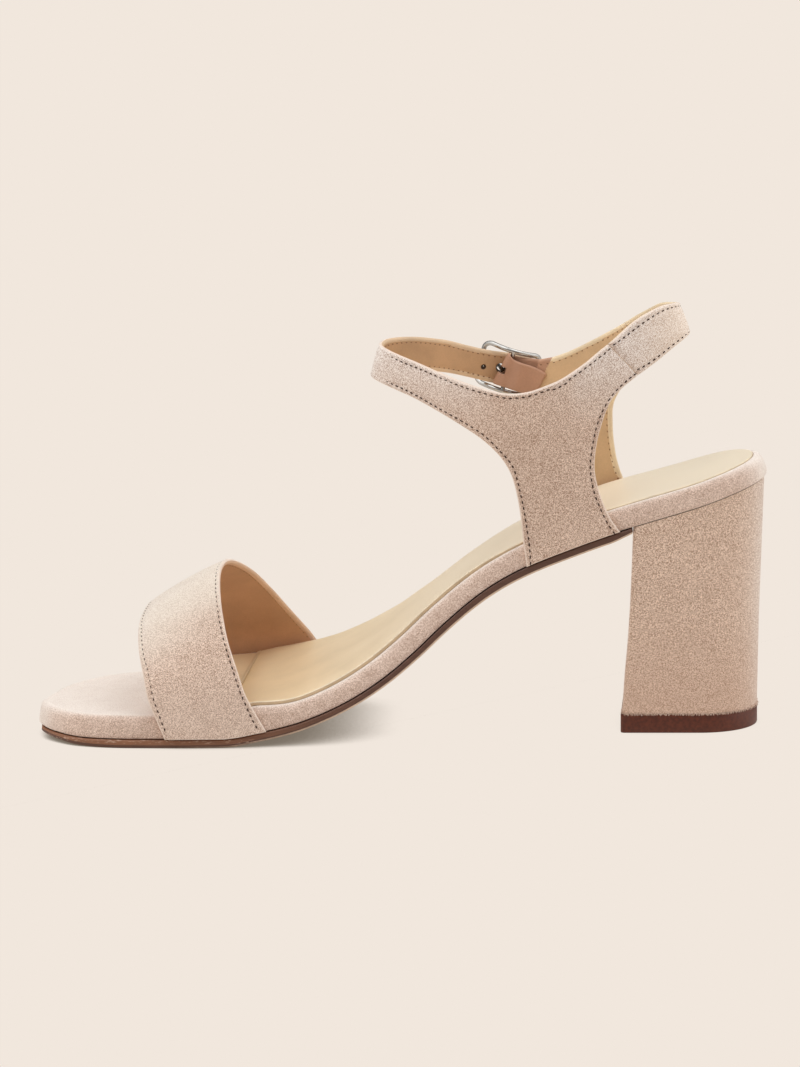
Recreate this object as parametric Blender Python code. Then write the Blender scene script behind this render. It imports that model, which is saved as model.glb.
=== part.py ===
"""Right heeled sandal: wrapped insole on a block heel, vamp strap and buckled ankle harness.

Toe towards -X, medial side towards -Y, floor at z = 0. Tables are in millimetres, and their column s is the
distance back from the toe tip. The meshes are in metres.
"""
import math

import bmesh
import bpy
import numpy as np
from mathutils import Vector

MM = 0.001
GAP = 0.3
TOE_X = -115.54
AXIS_Y = 0.09
MEDIAL = -1
LATERAL = 1

# Sole layers, measured square to the footbed line
OUTSOLE = 2.6
BAND = 7.5
BAND_ROUND = 3.0
OUTSOLE_BEVEL = 0.6
SOCK = 1.0
SOCK_BEVEL = 0.2
SOCK_INSET = 2.6
FOREFOOT_TOP = OUTSOLE + GAP + BAND
OUTSOLE_START = 1.6
OUTSOLE_END = 185.6
OUTSOLE_LEDGE = 0.7
SOCK_FRONT_MEDIAL = 57.0
SOCK_FRONT_LATERAL = 68.0
SOCK_RECESS_START = 40.0
SOCK_RECESS_LENGTH = 10.0
SOCK_SQUARE = 76.0
TOE_TURN = 24.0
TOE_STEPS = 12
MIDDLE_STEPS = 36

# Footbed line along the sole: s, height
FOOTBED = (
    (-3.0, FOREFOOT_TOP + 1.2),
    (6.0, FOREFOOT_TOP + 0.45),
    (16.0, FOREFOOT_TOP),
    (57.0, FOREFOOT_TOP),
    (68.0, 12.1),
    (77.5, 14.2),
    (86.5, 17.3),
    (95.5, 21.4),
    (104.4, 26.8),
    (113.4, 34.0),
    (122.4, 42.4),
    (131.0, 49.8),
    (137.9, 54.9),
    (144.7, 59.0),
    (153.3, 63.2),
    (166.0, 68.2),
    (180.7, 73.4),
    (228.0, 86.6),
    (236.0, 88.8),
)

# How much thinner the outsole is than at the forefoot: s, thickness taken away
SKIVED = (
    (-3.0, 0.0),
    (60.0, 0.0),
    (105.0, 0.45),
    (125.0, 0.3),
    (140.0, 0.1),
    (155.0, 0.0),
    (178.0, 0.0),
    (186.0, 1.0),
)

# How far the lateral edge of the footbed lies below the medial one: s, drop
CANT = (
    (-3.0, 0.0),
    (86.0, 0.0),
    (97.0, 0.3),
    (107.0, 1.2),
    (117.0, 3.0),
    (128.0, 4.3),
    (139.0, 3.7),
    (152.0, 2.0),
    (166.0, 0.6),
    (180.0, 0.0),
    (236.0, 0.0),
)

# Plan of the insole as far as the seat: s, medial edge, lateral edge
PLAN = (
    (0.0, -20.6, -17.2),
    (1.0, -24.0, -13.4),
    (3.0, -28.6, -7.0),
    (6.4, -33.0, 3.0),
    (11.0, -36.8, 12.0),
    (17.0, -39.1, 19.2),
    (24.0, -40.3, 24.2),
    (32.0, -40.7, 28.2),
    (46.0, -40.8, 33.4),
    (60.0, -40.2, 37.2),
    (74.0, -39.3, 39.8),
    (84.0, -38.2, 40.6),
    (94.0, -36.0, 38.6),
    (104.0, -32.8, 34.6),
    (114.0, -30.0, 30.2),
    (126.0, -27.6, 26.2),
    (138.0, -25.9, 23.9),
    (152.0, -24.6, 23.0),
    (170.0, -23.7, 23.2),
    (190.0, -23.5, 23.5),
    (206.0, -23.5, 23.5),
)
SEAT_BACK = 229.8
SEAT_HALF = 23.5
SEAT_FLAT = 0.02

# Heel block from its foot to the seat: share of the height, breast, back, half width
HEEL = (
    (0.0, 186.3, 228.9, 18.5),
    (0.2, 187.0, 229.2, 19.2),
    (0.4, 188.0, 229.5, 20.2),
    (0.6, 188.7, 230.0, 21.3),
    (0.8, 189.2, 230.5, 22.3),
    (1.0, 189.6, 231.0, 23.0),
)
HEEL_CORNER = 1.2
HEEL_SIDE_START = 6.0
LIFT = 6.0
LIFT_BEVEL = 0.5
LIFT_BREAST = 185.8
LIFT_BACK = 229.0
LIFT_HALF = 18.7

WALL = 1.8

# Vamp strap over the foot, medial to lateral: front edge s, y, z and rear edge s, y, z
VAMP = (
    (35.4, -41.4, 16.0, 65.8, -41.2, 17.3),
    (33.5, -37.5, 23.0, 62.6, -38.6, 25.3),
    (31.6, -30.0, 29.3, 59.4, -33.0, 34.4),
    (31.1, -20.0, 34.3, 57.2, -23.0, 44.6),
    (32.2, -9.0, 37.1, 57.0, -9.0, 51.6),
    (34.6, 4.0, 38.2, 60.0, 3.0, 52.6),
    (39.2, 15.5, 36.0, 66.6, 15.5, 47.0),
    (44.6, 26.0, 30.4, 73.0, 25.5, 38.7),
    (49.4, 33.6, 23.5, 79.0, 33.8, 30.0),
    (53.0, 38.8, 16.2, 85.0, 40.6, 21.6),
)
VAMP_FEET = {MEDIAL: (40.4, 72.0, 38.4, 69.6), LATERAL: (56.0, 91.0, 54.8, 88.2)}
VAMP_HUG = -2.0
VAMP_ROUND = 0.9
VAMP_CENTRE = (55.0, 0.0, 10.0)

# Ankle loop in plan: distance from its front, half width
LOOP_FRONT = 105.8
LOOP_LENGTH = 101.4
LOOP_PLAN = (
    (0.0, 0.0),
    (10.0, 13.0),
    (17.0, 18.6),
    (25.0, 24.6),
    (33.0, 28.6),
    (41.0, 30.6),
    (50.0, 31.0),
    (62.0, 28.4),
    (74.0, 22.6),
    (85.0, 15.2),
    (93.0, 10.6),
    (101.4, 0.0),
)
LOOP_LEVEL = 101.0
FRONT_LEAN = (116.3, 0.277)
BACK_LEAN = (127.5, 0.37)

# Lines from the upper to the lower edge bow where the harness is as deep as a panel
STRAP_DROP = 15.0
PANEL_DROP = 45.0
BOW = 1.5

# Edges of the ankle harness: angle round the loop and height of the upper edge, then of the lower edge, and how
# far the strap stands off the loop. Angles run from the loop's front, medial side first.
FOOT = None
MEDIAL_STRAP = (
    (-101.0, 109.1, -101.0, 99.2, 3.9),
    (-93.0, 110.5, -93.0, 100.4, 4.3),
    (-84.0, 112.0, -84.0, 101.9, 4.4),
    (-75.0, 113.9, -75.0, 103.8, 4.0),
    (-66.0, 116.8, -66.0, 106.5, 2.2),
    (-56.0, 119.9, -56.0, 109.3, 0.5),
    (-40.0, 122.7, -40.0, 112.0, 0.0),
    (-20.0, 123.7, -20.0, 113.2, 0.0),
    (0.0, 123.4, 0.0, 112.9, 0.0),
    (20.0, 122.6, 20.0, 111.9, 0.0),
    (40.0, 120.5, 40.0, 109.1, 0.0),
    (53.0, 118.2, 53.0, 105.7, 0.0),
    (62.5, 116.2, 62.5, 102.2, 0.0),
    (70.0, 114.7, 71.0, 98.1, 0.0),
    (76.0, 113.6, 77.8, 92.9, 0.0),
    (81.0, 113.0, 82.0, 87.3, 0.0),
    (85.0, 113.1, 84.2, 81.2, 0.0),
    (88.0, 113.5, 85.8, 73.6, 0.0),
    (90.0, 113.9, 87.0, 64.0, 0.0),
    (91.5, 114.3, 88.2, FOOT, 0.0),
)
MEDIAL_REAR = (
    (99.0, 116.6, 123.8, FOOT, 0.0),
    (101.0, 117.4, 119.6, 71.5, 0.0),
    (103.0, 118.4, 116.0, 78.0, 0.0),
    (105.0, 119.4, 113.6, 86.0, 0.0),
    (107.5, 120.7, 113.9, 93.0, 0.0),
    (110.5, 122.3, 115.7, 99.8, 0.0),
    (113.5, 124.1, 119.6, 108.0, 0.0),
    (116.0, 125.6, 125.0, 112.3, 0.0),
    (119.0, 127.2, 132.3, 115.8, 0.0),
)
BACK = (
    (119.5, 127.6, 132.8, 116.1, 0.0),
    (132.0, 133.8, 142.0, 119.5, 0.0),
    (147.0, 137.1, 154.0, 123.4, 0.0),
    (163.0, 137.5, 167.0, 125.7, 0.0),
    (180.0, 136.9, 180.0, 126.3, 0.0),
    (197.0, 135.9, 193.0, 125.2, 0.0),
    (212.0, 134.6, 205.0, 121.9, 0.0),
    (225.0, 130.6, 213.0, 118.4, 0.0),
    (233.0, 126.8, 219.8, 115.2, 0.0),
)
LATERAL_REAR = (
    (233.5, 126.4, 220.3, 114.9, 0.0),
    (238.0, 124.0, 227.0, 111.0, 0.0),
    (242.0, 122.0, 233.0, 106.6, 0.0),
    (245.0, 120.4, 237.8, 100.0, 0.0),
    (248.0, 118.9, 238.4, 93.0, 0.0),
    (250.5, 117.6, 237.8, 85.5, 0.0),
    (253.0, 116.4, 235.9, 78.0, 0.0),
    (256.0, 115.0, 231.0, FOOT, 0.0),
)
LATERAL_FRONT = (
    (261.5, 113.0, 265.1, FOOT, 0.0),
    (262.6, 112.8, 266.2, 66.0, 0.0),
    (263.6, 112.6, 267.0, 78.0, 0.0),
    (264.5, 112.4, 267.7, 88.0, 0.0),
    (265.6, 112.2, 268.7, 96.0, 0.0),
    (266.9, 112.0, 270.0, 101.1, 0.0),
)

# Buckle, set along the strap on the lateral side
BUCKLE_S = 149.2
BUCKLE_Z = 107.9
BUCKLE_TILT = math.radians(16.6)
BAR_Y = 31.0
BAR_RADIUS = 0.7
FRAME_HALF_LENGTH = 9.2
FRAME_HALF_HEIGHT = 6.7
FRAME_CORNER = 2.4
FRAME_RADIUS = 0.8
FRAME_ARCH = 5.4
TAB_HALF_HEIGHT = 5.0
TAB_WALL = 0.9
TAB_LENGTH = 8.2
TAB_TAIL = 2.4
SLOT_HALF = 1.3
SLOT_BACK = 2.0
PRONG_RADIUS = 0.65
PRONG_HOLE = 1.5
PRONG_HOLE_PLACE = (-2.5, 3.0)
SPARE_HOLE = 0.85
SPARE_HOLE_PLACE = (-72.6, 109.3)
HOLE_REACH = 5.0

# Prong from the bar through the strap to the frame: place along the strap, height above the bar
PRONG = (
    (-1.65, 0.4),
    (-2.3, 1.6),
    (-2.5, 3.0),
    (-3.2, 4.8),
    (-5.2, 6.75),
    (-9.0, 7.15),
    (-10.2, 6.95),
)

COLOURS = {
    "suede": ((0.72, 0.53, 0.43), 0.95, 0.0),
    "heel_suede": ((0.64, 0.46, 0.36), 0.95, 0.0),
    "sock_leather": ((0.76, 0.58, 0.38), 0.5, 0.0),
    "sole_leather": ((0.16, 0.07, 0.04), 0.5, 0.0),
    "lift": ((0.10, 0.03, 0.02), 0.5, 0.0),
    "metal": ((0.55, 0.54, 0.52), 0.2, 1.0),
}


class Curve:
    """Cubic through the rows of a table that never overshoots, so that level stretches stay level."""

    def __init__(self, rows):
        table = np.array(rows, dtype=float)
        self.at = table[:, 0]
        self.value = table[:, 1]
        steps = np.diff(self.at)
        grades = np.diff(self.value) / steps
        slopes = [grades[0]]
        for before, after in zip(grades[:-1], grades[1:]):
            slopes.append(2.0 * before * after / (before + after) if before * after > 0.0 else 0.0)
        slopes.append(grades[-1])
        self.slopes = np.array(slopes)

    def _span(self, at):
        index = int(np.clip(np.searchsorted(self.at, at) - 1, 0, len(self.at) - 2))
        width = self.at[index + 1] - self.at[index]
        return index, width, (at - self.at[index]) / width

    def __call__(self, at):
        i, width, t = self._span(at)
        start = (1.0 + 2.0 * t) * (1.0 - t) ** 2 * self.value[i] + t * (1.0 - t) ** 2 * width * self.slopes[i]
        stop = t * t * (3.0 - 2.0 * t) * self.value[i + 1] + t * t * (t - 1.0) * width * self.slopes[i + 1]
        return start + stop

    def slope(self, at):
        i, width, t = self._span(at)
        rise = 6.0 * t * (1.0 - t) * (self.value[i + 1] - self.value[i]) / width
        ends = (1.0 - t) * (1.0 - 3.0 * t) * self.slopes[i] + t * (3.0 * t - 2.0) * self.slopes[i + 1]
        return rise + ends


def smooth(rows, steps):
    """Rows of a table refined along a smooth curve that passes through each of them."""
    points = np.array(rows, dtype=float)
    ends = (2.0 * points[:1] - points[1:2], points, 2.0 * points[-1:] - points[-2:-1])
    padded = np.vstack(ends)
    fine = []
    for a, b, c, d in zip(padded, padded[1:], padded[2:], padded[3:]):
        for step in range(steps):
            t = step / steps
            cubic = (3.0 * b - a - 3.0 * c + d) * t ** 3
            fine.append(0.5 * (2.0 * b + (c - a) * t + (2.0 * a - 5.0 * b + 4.0 * c - d) * t * t + cubic))
    fine.append(points[-1])
    return np.array(fine)


footbed = Curve(FOOTBED)
skived = Curve(SKIVED)
cant = Curve(CANT)
loop_squared = Curve([(distance, half * half) for distance, half in LOOP_PLAN])


def plan_edge(side):
    """One side of the insole's outline from the toe to the middle of the back, as (s, y) points."""
    column = 1 if side == MEDIAL else 2
    front = smooth([(row[0], row[column]) for row in PLAN], 8)
    centre = PLAN[-1][0]
    turns = np.radians(np.linspace(4.0, 88.0, 22))
    back = [(centre + (SEAT_BACK - centre) * math.sin(t), side * SEAT_HALF * math.cos(t)) for t in turns]
    return np.vstack((front, back))


EDGES = {side: plan_edge(side) for side in (MEDIAL, LATERAL)}


def edge_y(side, s):
    return float(np.interp(s, EDGES[side][:, 0], EDGES[side][:, 1]))


def sole_point(s, y, level):
    """The point a given level above the footbed, square to its line there."""
    medial = edge_y(MEDIAL, s)
    across = (y - medial) / max(1.0, edge_y(LATERAL, s) - medial)
    slope = footbed.slope(s) - across * cant.slope(s)
    length = math.hypot(1.0, slope)
    return (s - level * slope / length, y, footbed(s) - across * cant(s) + level / length)


def level_height(side, level):
    """Height of a sole layer at one edge, as a function of s."""
    line = np.array([sole_point(s, edge_y(side, s), level) for s in np.linspace(0.0, SEAT_BACK, 460)])
    return lambda s: float(np.interp(s, line[:, 0], line[:, 2]))


band_bottom = {side: level_height(side, -BAND) for side in EDGES}
band_top = {side: level_height(side, 0.0) for side in EDGES}
heel_seat = level_height(MEDIAL, -BAND - GAP)


def stations(start, stop):
    """Stations along the sole, close together where the toe and the seat turn."""
    toe = [TOE_TURN * (step / TOE_STEPS) ** 2 for step in range(TOE_STEPS)]
    centre = PLAN[-1][0]
    middle = np.linspace(TOE_TURN, centre, MIDDLE_STEPS)
    seat = [centre + (SEAT_BACK - centre) * math.sin(math.radians(turn)) for turn in np.linspace(9.0, 86.0, 10)]
    inside = [s for s in (*toe, *middle, *seat) if start < s < stop]
    return [start, *inside, stop]


def edge_pair(runs):
    """Medial and lateral edges of the insole's outline at two equally long runs of stations."""
    return [np.array([(s, edge_y(side, s)) for s in run]) for side, run in zip((MEDIAL, LATERAL), runs)]


def inset(pairs, distance):
    """A closed outline, given as its medial and lateral edges, moved inwards."""
    medial, lateral = pairs
    loop = np.vstack((medial, lateral[::-1]))
    ahead = np.roll(loop, -1, axis=0) - loop
    ahead /= np.linalg.norm(ahead, axis=1)[:, None]
    mean = ahead + np.roll(ahead, 1, axis=0)
    mean /= np.linalg.norm(mean, axis=1)[:, None]
    moved = loop + distance * np.column_stack((-mean[:, 1], mean[:, 0]))
    return moved[:len(medial)], moved[len(medial):][::-1]


def material(name):
    colour, roughness, metallic = COLOURS[name]
    made = bpy.data.materials.new(name)
    made.use_nodes = True
    shader = made.node_tree.nodes["Principled BSDF"]
    shader.inputs["Base Color"].default_value = (*colour, 1.0)
    shader.inputs["Roughness"].default_value = roughness
    shader.inputs["Metallic"].default_value = metallic
    return made


def add_object(name, points, faces, finish, crease=40.0):
    """A named object from points in millimetres, with its faces turned outwards."""
    mesh = bpy.data.meshes.new(name)
    places = [((s + TOE_X) * MM, (y + AXIS_Y) * MM, z * MM) for s, y, z in points]
    mesh.from_pydata(places, [], faces)
    shape = bmesh.new()
    shape.from_mesh(mesh)
    bmesh.ops.recalc_face_normals(shape, faces=shape.faces)
    shape.to_mesh(mesh)
    shape.free()
    mesh.shade_smooth()
    mesh.set_sharp_from_angle(angle=math.radians(crease))
    mesh.materials.append(material(finish))
    made = bpy.data.objects.new(name, mesh)
    bpy.context.scene.collection.objects.link(made)
    return made


def loft(name, rings, finish):
    """A solid through rings of paired medial and lateral points, closed by rungs between the pairs."""
    points = []
    for medial, lateral in rings:
        points.extend([*medial, *lateral[::-1]])
    count = len(rings[0][0])
    around = 2 * count
    faces = []
    for ring in range(len(rings) - 1):
        low = ring * around
        for i in range(around):
            j = (i + 1) % around
            faces.append((low + i, low + j, low + around + j, low + around + i))
    for base in (0, (len(rings) - 1) * around):
        for i in range(count - 1):
            faces.append((base + i, base + i + 1, base + around - 2 - i, base + around - 1 - i))
    return add_object(name, points, faces, finish)


def slab(name, pairs, levels, finish, relief):
    """A sole layer: its outline at several levels, each with its own inset and share of a relief along the sole."""
    rings = []
    for level, distance, share in levels:
        edges = inset(pairs, distance)
        rings.append([[sole_point(s, y, level + share * relief(s)) for s, y in edge] for edge in edges])
    return loft(name, rings, finish)


def sock_recess(s):
    """How far the insole sinks, from nothing at the toe to the room for the sock that lies on it."""
    share = min(1.0, max(0.0, (s - SOCK_RECESS_START) / SOCK_RECESS_LENGTH))
    return -(SOCK + GAP) * share * share * (3.0 - 2.0 * share)


def leather(name, outer, inner, finish):
    """A leather piece between a grid of outer points and the matching grid of inner points."""
    rows, columns = outer.shape[:2]
    points = [*outer.reshape(-1, 3), *inner.reshape(-1, 3)]
    back = rows * columns
    faces = []
    for i in range(rows - 1):
        for j in range(columns - 1):
            cell = (i * columns + j, i * columns + j + 1, (i + 1) * columns + j + 1, (i + 1) * columns + j)
            faces.append(cell)
            faces.append(tuple(back + corner for corner in reversed(cell)))
    rim = [i * columns for i in range(rows)]
    rim += [(rows - 1) * columns + j for j in range(1, columns)]
    rim += [i * columns + columns - 1 for i in range(rows - 2, -1, -1)]
    rim += list(range(columns - 2, 0, -1))
    for a, b in zip(rim, rim[1:] + rim[:1]):
        faces.append((a, b, back + b, back + a))
    return add_object(name, points, faces, finish)


def grid_normals(grid, outward):
    along = np.gradient(grid, axis=0)
    across = np.gradient(grid, axis=1)
    normals = np.cross(along, across)
    normals /= np.linalg.norm(normals, axis=2)[:, :, None]
    return normals * np.sign(np.sum(normals * outward, axis=2))[:, :, None]


def outsole():
    pairs = edge_pair([stations(OUTSOLE_START, OUTSOLE_END)] * 2)
    top = -BAND - GAP
    bottom = top - OUTSOLE
    levels = ((bottom, OUTSOLE_BEVEL - OUTSOLE_LEDGE, 1.0), (bottom + OUTSOLE_BEVEL, -OUTSOLE_LEDGE, 1.0),
              (top, -OUTSOLE_LEDGE, 0.0))
    return slab("outsole", pairs, levels, "sole_leather", skived)


def wrapped_insole():
    pairs = edge_pair([stations(0.0, SEAT_BACK - SEAT_FLAT)] * 2)
    turns = [math.radians(a) for a in (0.0, 30.0, 60.0, 90.0)]
    rounds = [(BAND_ROUND * (math.sin(a) - 1.0), BAND_ROUND * (1.0 - math.cos(a)), 1.0) for a in turns]
    return slab("wrapped_insole", pairs, [(-BAND, 0.0, 0.0), *rounds], "suede", sock_recess)


def sock():
    rest = stations(SOCK_SQUARE, SEAT_BACK - SEAT_FLAT)
    starts = (SOCK_FRONT_MEDIAL, SOCK_FRONT_LATERAL)
    pairs = edge_pair([[*np.linspace(start, SOCK_SQUARE, 5)[:-1], *rest] for start in starts])
    levels = ((-SOCK, SOCK_INSET, 0.0), (0.0, SOCK_INSET + SOCK_BEVEL, 0.0))
    return slab("sock", pairs, levels, "sock_leather", sock_recess)


def heel_outline(breast, back, half):
    """Flat breast with small corners, straight sides and a half round back, as paired edges."""
    corner = [(breast + HEEL_CORNER * (1.0 - math.cos(math.radians(a))),
               half - HEEL_CORNER * (1.0 - math.sin(math.radians(a)))) for a in (0.0, 45.0, 90.0)]
    straight = [(s, half) for s in np.linspace(breast + HEEL_SIDE_START, back - half, 4)]
    turns = np.radians(np.linspace(9.0, 88.0, 12))
    turn = [(back - half + half * math.sin(t), half * math.cos(t)) for t in turns]
    lateral = [*corner, *straight, *turn]
    return [(s, -y) for s, y in lateral], lateral


def heel_block():
    foot = LIFT + GAP
    rings = []
    for share, breast, back, half in HEEL:
        edges = heel_outline(breast, back, half)
        rings.append([[(s, y, foot + share * (heel_seat(s) - foot)) for s, y in edge] for edge in edges])
    return loft("heel_block", rings, "heel_suede")


def top_lift():
    rings = []
    for height, narrower in ((0.0, LIFT_BEVEL), (LIFT_BEVEL, 0.0), (LIFT, 0.0)):
        edges = heel_outline(LIFT_BREAST + narrower, LIFT_BACK - narrower, LIFT_HALF - narrower)
        rings.append([[(s, y, height) for s, y in edge] for edge in edges])
    return loft("top_lift", rings, "lift")


def sole_side(side, front, rear, level):
    """A row of strap points that lie against the insole's edge."""
    def at(share):
        station = front + share * (rear - front)
        return np.array(sole_point(station, edge_y(side, station) + side * (GAP + WALL), level))
    return at


def bridge(row):
    """A row of vamp points from its front edge to its rear edge, a little rounded."""
    front = np.array(row[:3])
    rear = np.array(row[3:])

    def at(share):
        return front + share * (rear - front) + np.array((0.0, 0.0, VAMP_ROUND * 4.0 * share * (1.0 - share)))
    return at


def vamp_strap():
    feet = {}
    for side, (front, rear, hug_front, hug_rear) in VAMP_FEET.items():
        feet[side] = [sole_side(side, front, rear, -BAND), sole_side(side, hug_front, hug_rear, VAMP_HUG)]
    rows = [*feet[MEDIAL], *[bridge(row) for row in VAMP], *reversed(feet[LATERAL])]
    shares = np.linspace(0.0, 1.0, 6)
    outer = np.stack([smooth([row(share) for row in rows], 3) for share in shares], axis=1)
    normals = grid_normals(outer, (outer - np.array(VAMP_CENTRE)) * (0.0, 1.0, 1.0))
    return leather("vamp_strap", outer, outer - WALL * normals, "suede")


def ankle_point(angle, z, lift):
    """Outer face of the ankle harness at an angle round the loop, in degrees from its front."""
    turn = math.radians(angle)
    distance = LOOP_LENGTH * 0.5 * (1.0 - math.cos(turn))
    side = MEDIAL if math.sin(turn) >= 0.0 else LATERAL
    s = LOOP_FRONT + distance
    loop_half = math.sqrt(max(0.0, loop_squared(distance)))
    foot_half = abs(edge_y(side, s)) + GAP + WALL
    floor = band_top[side](s)
    rise = min(1.0, max(0.0, (z - floor) / (LOOP_LEVEL - floor)))
    y = side * (foot_half + rise * (loop_half - foot_half) + lift)
    s += (z - FRONT_LEAN[0]) * FRONT_LEAN[1] * max(0.0, math.cos(turn)) ** 4
    s -= max(0.0, z - BACK_LEAN[0]) * BACK_LEAN[1] * max(0.0, -math.cos(turn)) ** 4
    return np.array((s, y, z))


def ankle_normal(angle, z, lift):
    round_loop = ankle_point(angle + 0.5, z, lift) - ankle_point(angle - 0.5, z, lift)
    upwards = ankle_point(angle, z + 0.5, lift) - ankle_point(angle, z - 0.5, lift)
    normal = np.cross(upwards, round_loop)
    return -normal / np.linalg.norm(normal)


def station(angle):
    return LOOP_FRONT + LOOP_LENGTH * 0.5 * (1.0 - math.cos(math.radians(angle)))


def on_foot(rows):
    """Rows whose lower edge is marked as the foot, brought down to the bottom of the insole's edge."""
    return [row if row[3] is not FOOT else (*row[:3], foot_height(row[2]), row[4]) for row in rows]


def foot_height(angle):
    side = MEDIAL if math.sin(math.radians(angle)) >= 0.0 else LATERAL
    return band_bottom[side](station(angle))


def along_foot(start, stop, steps):
    """Rows between two foot corners, with the lower edge along the bottom of the insole's edge."""
    rows = []
    for step in range(1, steps):
        row = np.array(start) + (np.array(stop) - np.array(start)) * step / steps
        rows.append((*row[:3], foot_height(row[2]), row[4]))
    return rows


def harness(name, rows, across):
    """A piece of the ankle harness between its upper and lower edges."""
    shares = np.linspace(0.0, 1.0, across + 1)
    outer = []
    inner = []
    for upper_angle, upper_z, lower_angle, lower_z, lift in rows:
        drop = upper_z - lower_z
        bow = 1.0 + BOW * min(1.0, max(0.0, (drop - STRAP_DROP) / (PANEL_DROP - STRAP_DROP)))
        line = [(upper_angle + share ** bow * (lower_angle - upper_angle), upper_z - share * drop, lift)
                for share in shares]
        face = [ankle_point(*place) for place in line]
        outer.append(face)
        inner.append([point - WALL * ankle_normal(*place) for point, place in zip(face, line)])
    return leather(name, np.array(outer), np.array(inner), "suede")


def medial_quarter():
    front = smooth(on_foot(MEDIAL_STRAP), 2)
    rear = smooth(on_foot(MEDIAL_REAR), 2)
    rows = [*front, *along_foot(front[-1], rear[0], 7), *rear]
    quarter = harness("medial_quarter", rows, 6)
    punch(quarter, "spare_hole_cutter", ankle_point(*SPARE_HOLE_PLACE, HOLE_REACH / 2.0), SPARE_HOLE)
    along, out = PRONG_HOLE_PLACE
    punch(quarter, "prong_hole_cutter", buckle_place(along, 0.0, BAR_Y + out), PRONG_HOLE)
    return quarter


def back_strap():
    return harness("back_strap", smooth(BACK, 3), 3)


def lateral_quarter():
    rear = smooth(on_foot(LATERAL_REAR), 2)
    front = smooth(on_foot(LATERAL_FRONT), 2)
    return harness("lateral_quarter", [*rear, *along_foot(rear[-1], front[0], 7), *front], 6)


def buckle_place(along, across, y):
    """A point of the buckle: along the strap towards its end, across it upwards, and outwards."""
    s = BUCKLE_S + along * math.cos(BUCKLE_TILT) + across * math.sin(BUCKLE_TILT)
    return np.array((s, y, BUCKLE_Z - along * math.sin(BUCKLE_TILT) + across * math.cos(BUCKLE_TILT)))


def tube(name, path, radius, sides, closed, finish):
    """A round rod along a path, as a ring or with flat ends."""
    path = np.array(path)
    ahead = np.roll(path, -1, axis=0) - np.roll(path, 1, axis=0) if closed else np.gradient(path, axis=0)
    points = []
    for place, way in zip(path, ahead):
        way = Vector(way).normalized()
        first = way.cross(Vector((0.0, 1.0, 0.0)))
        if first.length < 0.3:
            first = way.cross(Vector((0.0, 0.0, 1.0)))
        first.normalize()
        second = way.cross(first)
        for k in range(sides):
            turn = 2.0 * math.pi * k / sides
            points.append(place + radius * (math.cos(turn) * np.array(first) + math.sin(turn) * np.array(second)))
    faces = []
    for i in range(len(path) if closed else len(path) - 1):
        low = i * sides
        high = (i + 1) % len(path) * sides
        for k in range(sides):
            j = (k + 1) % sides
            faces.append((low + k, low + j, high + j, high + k))
    if not closed:
        faces.append(tuple(range(sides)))
        faces.append(tuple((len(path) - 1) * sides + k for k in range(sides)))
    return add_object(name, points, faces, finish)


def combine(target, tool, operation):
    """Leave the tool out as an object of its own and use it on the target."""
    tool.hide_render = True
    tool.display_type = "WIRE"
    change = target.modifiers.new(tool.name, "BOOLEAN")
    change.operation = operation
    change.solver = "EXACT"
    change.object = tool


def punch(target, name, place, radius):
    """A round hole straight through a strap that faces sideways."""
    path = [place + np.array((0.0, shift, 0.0)) for shift in (-HOLE_REACH, HOLE_REACH)]
    combine(target, tube(name, path, radius, 10, False, "metal"), "DIFFERENCE")


def frame_path():
    corners = []
    for along, across, start in ((1, 1, 0.0), (-1, 1, 90.0), (-1, -1, 180.0), (1, -1, 270.0)):
        for turn in np.radians(np.linspace(start, start + 90.0, 5)):
            a = along * (FRAME_HALF_LENGTH - FRAME_CORNER) + FRAME_CORNER * math.cos(turn)
            b = across * (FRAME_HALF_HEIGHT - FRAME_CORNER) + FRAME_CORNER * math.sin(turn)
            corners.append((a, b))
        if along == across:
            corners += [(share * along * FRAME_HALF_LENGTH * 0.5, across * FRAME_HALF_HEIGHT)
                        for share in (0.8, 0.0, -0.8)]
    return [buckle_place(a, b, BAR_Y + FRAME_ARCH * (a / FRAME_HALF_LENGTH) ** 2) for a, b in corners]


def buckle_frame():
    frame = tube("buckle_frame", frame_path(), FRAME_RADIUS, 8, True, "metal")
    ends = [buckle_place(0.0, b, BAR_Y) for b in (-FRAME_HALF_HEIGHT, FRAME_HALF_HEIGHT)]
    combine(frame, tube("bar_tool", ends, BAR_RADIUS, 8, False, "metal"), "UNION")
    return frame


def buckle_tab():
    """A strip folded round the bar, with a slot for the prong and a tail that meets the lateral quarter."""
    hole = BAR_RADIUS + GAP
    reach = hole + TAB_WALL
    turns = np.radians(np.linspace(90.0, 270.0, 9))
    fold = [(reach * math.cos(turn), reach * math.sin(turn)) for turn in turns]
    tail = [(TAB_LENGTH, -reach), (TAB_LENGTH, WALL - reach), (TAB_TAIL + TAB_WALL, WALL - reach), (TAB_TAIL, reach)]
    bore = [(hole * math.cos(turn), hole * math.sin(turn)) for turn in turns]
    tab = across_strap("buckle_tab", [*fold, *tail], TAB_HALF_HEIGHT, "suede")
    bore_tool = across_strap("bore_cutter", [*bore, (hole, -hole), (hole, hole)], 2.0 * TAB_HALF_HEIGHT, "suede")
    combine(tab, bore_tool, "DIFFERENCE")
    far = 2.0 * reach
    slot = [(-far, -far), (SLOT_BACK, -far), (SLOT_BACK, far), (-far, far)]
    combine(tab, across_strap("slot_cutter", slot, SLOT_HALF, "suede"), "DIFFERENCE")
    return tab


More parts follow.
